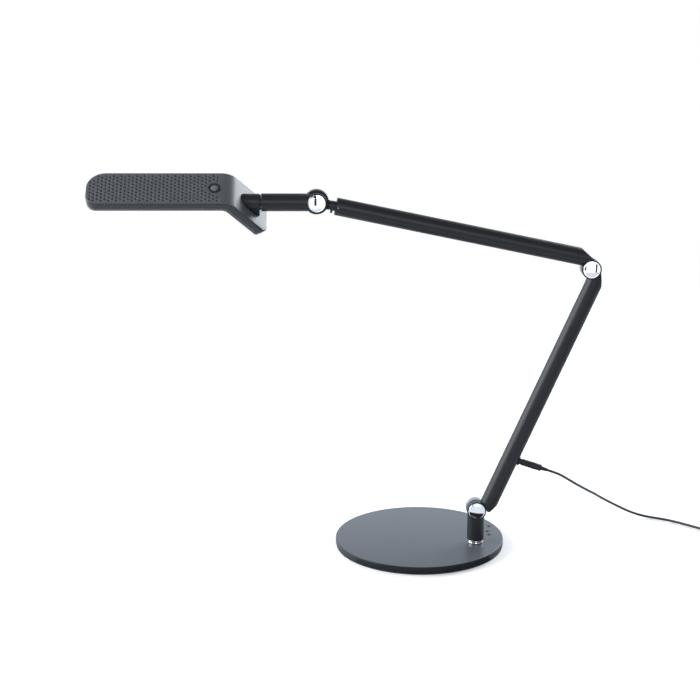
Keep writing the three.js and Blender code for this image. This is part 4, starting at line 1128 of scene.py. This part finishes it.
@dataclass
class Stem:
    """The short stem between the head hinge and the head's swivel.

    Attributes:
        reach: hinge to the swivel end.
        seam: hinge to the seam between ear fitting and tube.
        radius: radius of the stem.
        hinge: the head hinge.
    """

    reach: float = 61.9
    seam: float = 21.0
    radius: float = 10.0
    hinge: Hinge = field(default_factory=Hinge)

    def build(self, place: Matrix) -> None:
        """Builds the stem.

        Args:
            place: the head hinge's place along the stem.
        """
        form = Form.rod(self.radius, 0, self.seam, Axis.X, 128).less(
            self.hinge.room(-1, 13.8), Form.block((-1, 11.2), (-0.7, 20), (-20, 20)))
        form.plus(self.hinge.ear(-1), Form.rod(8.5, self.seam - 1, self.seam + 15, Axis.X, 64))
        form.less(*self.hinge.bores(-1)).eased(0.16)
        form.shown("look_stem_ear_fitting", "stem", place, ARM_PAINT)
        start, e = self.seam + 0.06, 0.1
        tube = Form.turned([(8.8, start), (10 - e, start), (10, start + e), (10, self.reach - e),
                            (10 - e, self.reach), (8.8, self.reach)], Axis.X, 160)
        tube.shown("look_stem_tube", "stem", place, ARM_PAINT)
        plug = Form.rod(8.5, self.reach - 18, self.reach - 0.3, Axis.X).less(
            Form.rod(4.3, self.reach - 15, self.reach + 1, Axis.X, 64)).eased(0.25)
        plug.shown("look_stem_end_plug", "stem", place, BLACK_PLASTIC)
        self.hinge.cap_piece("head_hinge_front_cap", "stem", place, -1)


# ------------------------------------------------------------------ head
@dataclass
class Band:
    """The bent strip that the head follows. Its length runs from the rounded far end to the tail.

    Attributes:
        end: far end, from the head hinge.
        meet: where the flat and the bent face would meet.
        bend: angle of the bend in degrees.
        radius: radius of the bend at the top face.
        tail: length of the bent part from where the faces would meet.
        height: top face above the stem's axis.
    """

    end: float = 255.0
    meet: float = 95.7
    bend: float = 51.3
    radius: float = 22.0
    tail: float = 63.7
    height: float = 23.4

    def __post_init__(self) -> None:
        """Works out the lengths along the strip."""
        self.turn = math.radians(self.bend)
        self.set_back = self.radius * math.tan(self.turn / 2)
        self.bend_start = self.meet + self.set_back
        self.flat = self.end - self.bend_start
        self.curve = self.radius * self.turn
        self.length = self.flat + self.curve + self.tail - self.set_back

    def at(self, along: float, across: float, depth: float) -> Point:
        """A place on the strip.

        Args:
            along: length from the far end.
            across: distance from the middle line.
            depth: depth under the top face.

        Returns:
            The place in the head's own frame.
        """
        if along <= self.flat:
            return (self.end - along, across, self.height - depth)
        turned = min((along - self.flat) / self.radius, self.turn)
        rest = max(0.0, along - self.flat - self.curve)
        reach = self.radius - depth
        x = self.bend_start - reach * math.sin(turned) - rest * math.cos(self.turn)
        z = self.height - self.radius + reach * math.cos(turned) - rest * math.sin(self.turn)
        return (x, across, z)

    def along_of(self, x: float) -> float:
        """Length along the strip of a place on its flat part."""
        return self.end - x


@dataclass
class Head:
    """The flat bent head with its collar, light and button.

    Attributes:
        band: the strip that it follows.
        width: its width.
        far_corners: corner radii of the far end, away from the user and on the user's side.
        tail_corners: corner radii of the tail, in the same order.
        depth: depth of the shell.
        wall: thickness of the shell.
        tray_from: depth of the tray's upper edge.
        tray_to: depth of the tray's underside.
        button_at: distance of the button from the hinge.
        pitch: distance between dimples in a row.
        row: distance between rows.
        dimple: radius of a dimple.
    """

    band: Band = field(default_factory=Band)
    width: float = 46.0
    far_corners: Flat = (21.5, 12.0)
    tail_corners: Flat = (12.0, 8.0)
    depth: float = 8.2
    wall: float = 1.6
    tray_from: float = 8.5
    tray_to: float = 12.7
    button_at: float = 113.5
    pitch: float = 8.5
    row: float = 2.45
    dimple: float = 1.35

    def outline(self, inset: float, steps: int = 16) -> list[Flat]:
        """The strip's flat outline, drawn in by an inset.

        Args:
            inset: how far in.
            steps: steps in each corner.

        Returns:
            Corners as length and distance across, in order.
        """
        half, length = self.width / 2 - inset, self.band.length
        back_far, near_far = (corner - inset for corner in self.far_corners)
        back_tail, near_tail = (corner - inset for corner in self.tail_corners)
        points = arc((inset + back_far, -half + back_far), back_far, 180, 270, steps)
        points += self._run(inset + back_far, length - inset - back_tail, -half)
        points += arc((length - inset - back_tail, -half + back_tail), back_tail, 270, 360, steps)
        points += arc((length - inset - near_tail, half - near_tail), near_tail, 0, 90, steps)
        points += self._run(length - inset - near_tail, inset + near_far, half)
        points += arc((inset + near_far, half - near_far), near_far, 90, 180, steps)
        kept: list[Flat] = []
        for point in points:
            if not kept or math.dist(point, kept[-1]) > 1e-6:
                kept.append(point)
        if math.dist(kept[0], kept[-1]) < 1e-6:
            kept.pop()
        return kept

    def _run(self, start: float, end: float, across: float) -> list[Flat]:
        """Points along a straight side, close together round the bend."""
        low, high = sorted((start, end))
        stops = [low + (high - low) * i / 8 for i in range(1, 8)]
        stops += [self.band.flat + self.band.curve * i / 24 for i in range(25)]
        inside = sorted({round(stop, 4) for stop in stops if low + 0.01 < stop < high - 0.01})
        return [(stop, across) for stop in (inside if end > start else reversed(inside))]

    @staticmethod
    def filled(
        loops: Sequence[Sequence[Flat]], inner: Sequence[Flat] = ()
    ) -> tuple[list[Flat], list[list[int]]]:
        """Triangles over an area.

        Args:
            loops: its outer edge first, then the edges of its holes.
            inner: further points inside it.

        Returns:
            The points, and corner numbers of the triangles.
        """
        points: list[Flat] = []
        edges: list[tuple[int, int]] = []
        for loop in loops:
            start = len(points)
            points += list(loop)
            edges += [(start + i, start + (i + 1) % len(loop)) for i in range(len(loop))]
        points += list(inner)
        made = delaunay_2d_cdt([Vector(point) for point in points], edges, [], 1, 1e-6)
        corners, faces = [tuple(corner) for corner in made[0]], made[2]

        def inside(loop: Sequence[Flat], x: float, y: float) -> bool:
            """Whether a place is inside a loop."""
            hit = False
            for (ax, ay), (bx, by) in zip(loop, [*loop[1:], loop[0]]):
                if (ay > y) != (by > y) and x < (bx - ax) * (y - ay) / (by - ay) + ax:
                    hit = not hit
            return hit

        kept = []
        for face in faces:
            x = sum(corners[i][0] for i in face) / len(face)
            y = sum(corners[i][1] for i in face) / len(face)
            if not any(inside(hole, x, y) for hole in loops[1:]):
                kept.append(list(face))
        return corners, kept

    def walled(self, rings: Sequence[tuple[float, float]], top: float, bottom: float,
               holes: Sequence[Sequence[Flat]] = (), hole_ends: Flat = (0.0, 0.0),
               relief: Callable[[float, float], float] | None = None,
               inner: Sequence[Flat] = (), holed_first: bool = True) -> Form:
        """A closed body on the strip: a filled first ring, walls through all rings, a filled last ring.

        Args:
            rings: inset and depth of each ring.
            top: depth of the first fill.
            bottom: depth of the last fill.
            holes: edges of holes in the first fill.
            hole_ends: depths between which the holes' walls run.
            relief: extra depth at a place on the first fill.
            inner: further points on the first fill.
            holed_first: whether the holes join the first fill to a second one under it.

        Returns:
            The body.
        """
        points: list[Point] = []
        faces: list[list[int]] = []

        def fill(inset: float, depth: float, extra: Sequence[Flat], dent: bool,
                 cuts: Sequence[Sequence[Flat]]) -> None:
            """Fills one ring.

            Args:
                inset: how far the ring is drawn in.
                depth: its depth under the top face.
                extra: further points inside it.
                dent: whether it takes the relief.
                cuts: edges of its holes.
            """
            corners, found = self.filled([self.outline(inset), *cuts], extra)
            start = len(points)
            for along, across in corners:
                more = relief(along, across) if dent and relief else 0.0
                points.append(self.band.at(along, across, depth + more))
            faces.extend([start + i for i in face] for face in found)

        def wall(low: Sequence[Flat], low_depth: float, high: Sequence[Flat], high_depth: float) -> None:
            """Joins two rings of the same count.

            Args:
                low: the first ring's outline.
                low_depth: its depth.
                high: the next ring's outline.
                high_depth: its depth.
            """
            start, count = len(points), len(low)
            points.extend(self.band.at(a, c, low_depth) for a, c in low)
            points.extend(self.band.at(a, c, high_depth) for a, c in high)
            for i in range(count):
                after = (i + 1) % count
                faces.append([start + i, start + after, start + count + after, start + count + i])

        first, last = rings[0], rings[-1]
        fill(first[0], top, inner, True, holes)
        fill(last[0], bottom, (), False, holes if holed_first else ())
        for (a_in, a_depth), (b_in, b_depth) in zip(rings, rings[1:]):
            wall(self.outline(a_in), a_depth, self.outline(b_in), b_depth)
        for hole in holes:
            wall(hole, hole_ends[0], hole, hole_ends[1])
        return Form.of(points, faces)

    def dimples(self) -> list[Flat]:
        """Middles of the dimples, in staggered rows clear of the edge and the button."""
        found: list[Flat] = []
        rows = int((self.width - 6.0) / self.row)
        first = -(rows - 1) / 2 * self.row
        button = self.band.along_of(self.button_at)
        for row in range(rows):
            across = first + row * self.row
            count = int(self.band.flat / self.pitch) + 1
            for step in range(count):
                along = 5.0 + self.pitch * (step + 0.5 * (row % 2))
                corner = self.far_corners[across > 0]
                dx, dy = corner - along, abs(across) - (self.width / 2 - corner)
                rounded = dx > 0 and dy > 0 and math.hypot(dx, dy) > corner - 2.6
                if rounded or along > self.band.flat - 2.6 or math.dist((along, across), (button, 0)) < 9.4:
                    continue
                found.append((along, across))
        return found

    def shell(self) -> None:
        """The shell, with real dimples in its top face, painted shade inside them, and a rolled edge."""
        middles = self.dimples()
        button = self.band.along_of(self.button_at)
        inner: list[Flat] = []
        r = self.dimple
        for x, y in middles:
            inner.append((x, y))
            for ring, steps in ((r * 0.45, 6), (r * 0.82, 12), (r, 14), (r * 1.13, 14)):
                inner += [(x + a, y + b) for a, b in arc((0, 0), ring, 0, 360 - 360 / steps, steps - 1)]
        bend = [self.band.flat + self.band.curve * i / 24 for i in range(25)]
        inner += [(a, c) for a in bend[1:] for c in (-16.0, -8.0, 0.0, 8.0, 16.0)]
        cells: dict[tuple[int, int], list[Flat]] = {}
        for x, y in middles:
            cells.setdefault((int(x // 5), int(y // 5)), []).append((x, y))

        def near(along: float, across: float) -> float:
            """Distance to the nearest dimple's middle."""
            i, j = int(along // 5), int(across // 5)
            close = [m for a in (-1, 0, 1) for b in (-1, 0, 1) for m in cells.get((i + a, j + b), ())]
            return min((math.dist((along, across), m) for m in close), default=9.0)

        def dent(along: float, across: float) -> float:
            """Depth of the top face at a place."""
            away = near(along, across)
            if away > 1.1 * r:
                return 0.0
            return 0.75 * min(1.0, (1.08 - min(away / r, 1.08)) / 0.5) ** 0.8

        plain = [(2.0 * i, 2.0 * j) for i in range(12, int(self.band.flat / 2)) for j in range(-9, 10)]
        inner += [spot for spot in plain if near(*spot) > 2.0 and math.dist(spot, (button, 0)) > 7.6]
        hole = arc((button, 0), 6.3, 0, 360 - 360 / 64, 63)
        rings = [(1.1, 0.0), (0.62, 0.09), (0.3, 0.3), (0.08, 0.62), (0.0, 1.05), (0.0, self.depth - 0.3),
                 (0.3, self.depth), (self.wall, self.depth), (self.wall, self.wall)]
        form = self.walled(rings, 0.0, self.wall, [hole], (0.0, self.wall), dent, inner)
        band = self.band

        def pick(middle: Vector, normal: Vector) -> int:
            """Picks satin for the top, painted shade for the dimples and gloss for the side.

            Args:
                middle: middle of a face.
                normal: its normal.

            Returns:
                The number of its finish.
            """
            sunk = band.height - 1.0 < middle.z < band.height - 0.06
            if sunk and middle.x > band.bend_start and abs(middle.y) < self.width / 2 - 1.2:
                # faces inside a dimple get the darker copy: painted shade
                if near(band.along_of(middle.x), middle.y) < 0.98 * r:
                    return 2
            upward = normal.z
            if middle.x <= band.bend_start:
                upward = max(normal.z, normal.z * 0.6 + abs(normal.x) * 0.8)
            return 0 if upward > 0.62 else 1
        looks = [HEAD_PAINT, HEAD_SIDE, DIMPLE_PAINTED_SHADE]
        form.shown("look_head_shell", "head", self.place, looks, sharp=28, choose=pick)

    def window(self, grow: float) -> list[Flat]:
        """The light window's outline on the strip.

        Args:
            grow: how far it is grown, or drawn in where this is below 0.

        Returns:
            Its corners as length and distance across, in order.
        """
        start, end = self.band.along_of(248.5 + grow), self.band.along_of(125 - grow)
        half, near = 16.5 + grow, max(4.0 + grow, 0.6)
        far, user = (max(corner - 6.5 + grow, 1.0) for corner in self.far_corners)
        points = arc((start + far, -half + far), far, 180, 270, 16)
        points += arc((end - near, -half + near), near, 270, 360, 8)
        points += arc((end - near, half - near), near, 0, 90, 8)
        points += arc((start + user, half - user), user, 90, 180, 16)
        return points

    def tray(self) -> None:
        """The grey tray with its window, and the frosted light cover."""
        inset, floor = 0.5, self.tray_to - 1.4
        rings = [(inset + 0.7, self.tray_to), (inset + 0.25, self.tray_to - 0.2), (inset, self.tray_to - 0.7),
                 (inset, self.tray_from), (inset + 1.6, self.tray_from), (inset + 1.6, floor)]
        form = self.walled(rings, self.tray_to, floor, [self.window(0.0)], (self.tray_to, floor))
        form.shown("look_head_tray", "head", self.place, GREY_PLASTIC, sharp=30)
        level = self.band.height
        lip, clear = floor - 0.3, 0.3
        outline = [(self.band.end - a, c) for a, c in self.window(1.3)]
        pane = [(self.band.end - a, c) for a, c in self.window(-clear)]
        cover = Form.drawn(outline, level - lip, level - lip + 1.4, Axis.Z)
        cover.plus(Form.drawn(pane, level - self.tray_to + 0.05, level - lip + 0.6, Axis.Z))
        cover.eased(0.2).shown("look_diffuser", "head", self.place, FROSTED)

    def collar(self) -> None:
        """The collar with its oblique foot, its swivel and its pin."""
        start, drop, r = 63.7, 8.2, 9.8
        outline = [*arc((0, 0), r, 0, 180, 40), *arc((0, -drop), r, 180, 360, 40)]
        form = Form.drawn(outline, start, 98.0, Axis.X)
        turn = self.band.turn
        lean = (math.cos(turn), math.sin(turn))
        base = (self.band.meet - 0.3 * lean[1], self.band.height + 0.3 * lean[0])
        low = (base[0] - 120 * lean[0], base[1] - 120 * lean[1])
        high = (base[0] + 60 * lean[0], base[1] + 60 * lean[1])
        form.less(Form.drawn([low, high, (high[0] + 90, high[1]), (high[0] + 90, low[1])], -30, 30))
        form.eased(0.35)
        form.plus(Form.rod(8.7, 62.2, start + 1, Axis.X), Form.rod(4, 47.2, start + 1, Axis.X, 64))
        form.shown("look_head_collar", "head", self.place, ARM_PAINT)

    def button(self) -> None:
        """The button's ring and the domed button."""
        level, neck, outer, bore = self.band.height, 6.0, 7.2, 4.3
        ring = Form.turned([
            (bore, level - 1.6), (neck, level - 1.6), (neck, level + 0.15), (outer, level + 0.15),
            *arc((outer - 0.3, level + 0.2), 0.3, 0, 90, 4),
            *arc((bore + 0.35, level + 0.15), 0.35, 90, 180, 4),
        ], sides=96).moved(self.button_at)
        ring.shown("look_button_bezel", "head", self.place, RING_PLASTIC)
        top = level + 1.0
        dome = [(4.0 * math.cos(math.radians(a)), top - 0.8 + 0.8 * math.sin(math.radians(a)))
                for a in (0, 15, 30, 45, 60, 75, 90)]
        cap = Form.turned([(0, level - 2.8), (4.0, level - 2.8), *dome[:-1], (0, top)], sides=64)
        cap.moved(self.button_at).shown("look_dimmer_button", "button", self.place, BUTTON_CAP)

    def build(self, place: Matrix) -> None:
        """Builds the head.

        Args:
            place: the head's own frame.
        """
        self.place = place
        self.shell()
        self.tray()
        self.collar()
        self.button()


# ------------------------------------------------------------------ cord
@dataclass
class Cord:
    """The low-voltage lead, from the plug's strain relief to the wall adapter.

    Attributes:
        length: its real length in metres.
        diameter: its thickness in metres.
        route: where it runs before the coil, in metres.
        tail: where it runs from the coil into the adapter, in metres.
        coil: middle of the coil and mean radius of its turns, in metres.
    """

    length: float = 1.5
    diameter: float = 0.003
    route: tuple[Point, ...] = (
        (0.1491, -0.0235, 0.0979), (0.162, -0.023, 0.0932), (0.173, -0.0185, 0.0854),
        (0.185, -0.0085, 0.0753),
        (0.2, 0.008, 0.0625), (0.2155, 0.026, 0.0495), (0.229, 0.0415, 0.0375), (0.2425, 0.0555, 0.0265),
        (0.2555, 0.0655, 0.017), (0.268, 0.071, 0.0093), (0.2805, 0.0732, 0.0039), (0.2915, 0.0706, 0.0018),
        (0.301, 0.066, 0.0016), (0.311, 0.0605, 0.0016), (0.322, 0.052, 0.0016), (0.336, 0.0385, 0.0016),
        (0.347, 0.0275, 0.0016), (0.355, 0.0175, 0.0019), (0.3615, 0.0085, 0.0031))
    tail: tuple[Point, ...] = (
        (0.3815, -0.01, 0.0108), (0.385, -0.0104, 0.0111), (0.3885, -0.0103, 0.0111),
        (0.392, -0.0103, 0.0107), (0.3957, -0.0109, 0.0097), (0.3988, -0.0126, 0.0083),
        (0.401, -0.015, 0.0071), (0.4022, -0.018, 0.0063), (0.4025, -0.0215, 0.006),
        (0.4025, -0.0255, 0.006), (0.4025, -0.0315, 0.006))
    coil: tuple[float, float, float] = (0.385, 0.0055, 0.0175)

    def turns(self, wanted: float) -> list[Point]:
        """The wound turns, in three layers of up to four turns each.

        Args:
            wanted: length of cord to put away, in metres.

        Returns:
            Points along the turns.
        """
        x, y, mean = self.coil
        start = math.atan2(self.route[-1][1] - y, self.route[-1][0] - x)
        stop = math.atan2(self.tail[0][1] - y, self.tail[0][0] - x)
        whole = (stop - start) % (2 * math.pi)
        swept = whole + 2 * math.pi * round((wanted / mean - whole) / (2 * math.pi))
        lanes = [(-1.5, 0), (-0.5, 0), (0.5, 0), (1.5, 0), (1.5, 1), (0.5, 1), (-0.5, 1), (-1.5, 1),
                 (-1, 1.87), (0, 1.87), (-0.5, 2.74), (-0.5, 2.74)]
        gap = 0.00302
        count = 30
        steps = int(count * swept / (2 * math.pi))
        made: list[Point] = []
        for step in range(steps + 1):
            turn = step / count
            lane = min(int(turn), len(lanes) - 2)
            part = min(1.0, max(0.0, (turn - lane - 0.72) / 0.28))
            ease = part * part * (3 - 2 * part)
            side, layer = (lanes[lane][k] + (lanes[lane + 1][k] - lanes[lane][k]) * ease for k in (0, 1))
            angle = start + swept * step / steps
            wide = mean + side * gap * 1.02
            sway = 0.00012 * math.sin(5.3 * angle)
            made.append((x + (wide + sway) * math.cos(angle), y + (wide + sway) * math.sin(angle),
                         0.0026 + layer * gap * 0.98))
        return made

    def path(self) -> list[Point]:
        """The whole cord's line, from the strain relief to the adapter."""
        run = sum(math.dist(a, b) for a, b in zip(self.route, self.route[1:]))
        end = sum(math.dist(a, b) for a, b in zip(self.tail, self.tail[1:]))
        wound = self.turns(self.length + 0.03 - run - end)
        return [*self.route, *wound[3:-2], *self.tail]

    def build(self) -> None:
        """Builds the cord as one round tube."""
        self.middle = self.eased_line()
        sides, points = 12, []
        ahead = (self.middle[1] - self.middle[0]).normalized()
        up = ahead.orthogonal().normalized()
        for index, point in enumerate(self.middle):
            before = self.middle[max(index - 1, 0)]
            after = self.middle[min(index + 1, len(self.middle) - 1)]
            turned = (after - before).normalized()
            up = ahead.rotation_difference(turned) @ up
            ahead = turned
            side = ahead.cross(up).normalized()
            for step in range(sides):
                angle = 2 * math.pi * step / sides
                points.append(point + (up * math.cos(angle) + side * math.sin(angle)) * self.diameter / 2)
        last = (len(self.middle) - 1) * sides
        faces = [[low + step, low + (step + 1) % sides, low + sides + (step + 1) % sides, low + sides + step]
                 for low in range(0, last, sides) for step in range(sides)]
        faces += [list(reversed(range(sides))), list(range(last, last + sides))]
        mesh = bpy.data.meshes.new("look_cord")
        mesh.from_pydata([tuple(point) for point in points], [], faces)
        mesh.shade_smooth()
        mesh.materials.append(SHEATH.material())
        made = bpy.data.objects.new("look_cord", mesh)
        bpy.context.scene.collection.objects.link(made)
        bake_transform(made)
        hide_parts("cord_run", "cord_coil", "cord_tail")
        self.piece = made
        log.info("look_cord, %d rings", len(self.middle))

    def eased_line(self, pitch: float = 0.0015, reach: int = 9) -> list[Vector]:
        """The cord's line at even steps, with every bend eased to what the lead can take.

        Args:
            pitch: distance between points, in metres.
            reach: how many points on each side share in the easing.

        Returns:
            Points along the cord.
        """
        line = [Vector(point) for point in self.path()]
        even, left = [line[0]], pitch
        for start, end in zip(line, line[1:]):
            span, done = (end - start).length, 0.0
            while span - done >= left:
                done += left
                even.append(start.lerp(end, done / span))
                left = pitch
            left -= span - done
        even.append(line[-1])
        shares = [math.exp(-0.5 * (k / (reach / 2.6)) ** 2) for k in range(-reach, reach + 1)]
        first, final, count = even[0], even[-1], len(even)
        wide = [2 * first - even[k] for k in range(reach, 0, -1)] + even
        wide += [2 * final - even[count - 1 - k] for k in range(1, reach + 1)]
        return [sum((wide[i + k] * share for k, share in enumerate(shares)), Vector()) / sum(shares)
                for i in range(count)]

    def adapter(self) -> list[bpy.types.Object]:
        """The adapter with its relief, and the nodes that lie on the cord."""
        low, high = bounds_of("wall_adapter")
        x, back = (low.x + high.x) / 2, high.y - 12.0
        half, tall = (high.x - low.x) / 2, high.z
        e = 5.0
        outline = [*arc((half - e, e), e, -90, 0, 8), *arc((half - e, tall - e), e, 0, 90, 8),
                   *arc((-half + e, tall - e), e, 90, 180, 8), *arc((-half + e, e), e, 180, 270, 8)]
        form = Form.drawn(outline, low.y - back, 0, Axis.Y)
        form.less(*[Form.block((s * 6.35 - 1.05, s * 6.35 + 1.05), (low.y - back - 1, low.y - back + 4),
                               (tall / 2 - 3.5, tall / 2 + 3.5)) for s in (-1, 1)])
        form.less(Form.block((-12, 12), (-30.25, -29.75), (tall - 0.5, tall + 1)))
        form.eased(0.6, 3)
        ribs: list[Flat] = [(0, -1), (3.2, -1)]
        for ring in range(4):
            wide, at = 3.2 - 0.22 * ring, 0.5 + 2.6 * ring
            ribs += [(wide, at), (wide - 0.05, at + 1.5), (wide - 0.6, at + 1.7), (wide - 0.6, at + 2.3)]
        form.plus(Form.turned([*ribs, (2.2, 11.4), (2.0, 12), (0, 12)], Axis.Y, 48).moved(z=6))
        place = Matrix.Translation((x * MM, back * MM, 0)) @ PLAIN
        made = [form.shown("look_wall_adapter", "post", place, BLACK_PLASTIC)]
        for name in ("adapter_prong_left", "adapter_prong_right"):
            prong = frame["nodes"][name]
            ease = prong.modifiers.new("ease", "BEVEL")
            ease.width, ease.segments, ease.limit_method = 0.0005, 3, "ANGLE"
            made.append(prong)
        return made

    def tie(self) -> bpy.types.Object:
        """The strap round the coil."""
        low, high = bounds_of("cord_tie")
        middle = (low + high) / 2
        w, d, h = (high - low) / 2
        out = [*arc((d - 2, h - 2), 2, 0, 90, 6), *arc((-d + 2, h - 2), 2, 90, 180, 6),
               *arc((-d + 2, -h + 2), 2, 180, 270, 6), *arc((d - 2, -h + 2), 2, 270, 360, 6)]
        inner = [(a * (d - 1) / d, b * (h - 1) / h) for a, b in out]
        form = Form.drawn(out, -w, w, Axis.X).less(Form.drawn(inner, -w - 1, w + 1, Axis.X))
        form.eased(0.25)
        return form.moved(*middle).shown("look_cord_tie", "post", PLAIN, BLACK_PLASTIC)

    def declare(self) -> None:
        """Builds what lies on the cord."""
        on_it = [*self.adapter(), self.tie()]


# ------------------------------------------------------------------ inner pieces
INNER: dict[Finish, tuple[str, ...]] = {
    CAST_IRON: ("base_weight",),
    BRONZE: ("swivel_bush",),
    STEEL: ("swivel_nut", "base_hinge_bolt", "base_hinge_nut", "elbow_bolt", "elbow_nut",
            "head_hinge_bolt", "head_hinge_nut"),
    FIBRE: ("base_hinge_washer", "elbow_washer", "head_hinge_washer"),
    WIRE: ("lower_arm_wire", "upper_arm_wire"),
    BOARD: ("led_board",),
    ALUMINIUM: ("heat_spreader",),
    GREEN_BOARD: ("dimmer_switch",),
    BRASS: ("adapter_prong_left", "adapter_prong_right"),
}


def dress_inner() -> None:
    """Gives the carried-over inner pieces their finishes."""
    for look, names in INNER.items():
        for name in names:
            node = frame["nodes"][name]
            node.data.materials.clear()
            node.data.materials.append(look.material())
            log.info("%s keeps its shape, %s", name, look.name)


def main() -> None:
    """Builds the lamp in order."""
    logging.basicConfig(level=logging.INFO, format="%(name)s: %(message)s")
    cord = Cord()
    cord.build()
    Base().build()
    Post().build()
    LowerArm().build()
    upper = UpperArm()
    upper.build()
    Neck().build(upper.end_place)
    stem_axis = Vector(AXES["head_roll"])
    origin = JOINTS["head_roll"]
    Stem().build(placed(origin, tuple(stem_axis), (-stem_axis.z, 0, stem_axis.x)))
    out = -Vector(AXES["dimmer_press"])
    Head().build(placed(origin, tuple(stem_axis), tuple(out)))
    cord.declare()
    dress_inner()
    Studio().build()


if __name__ == "__main__":
    main()
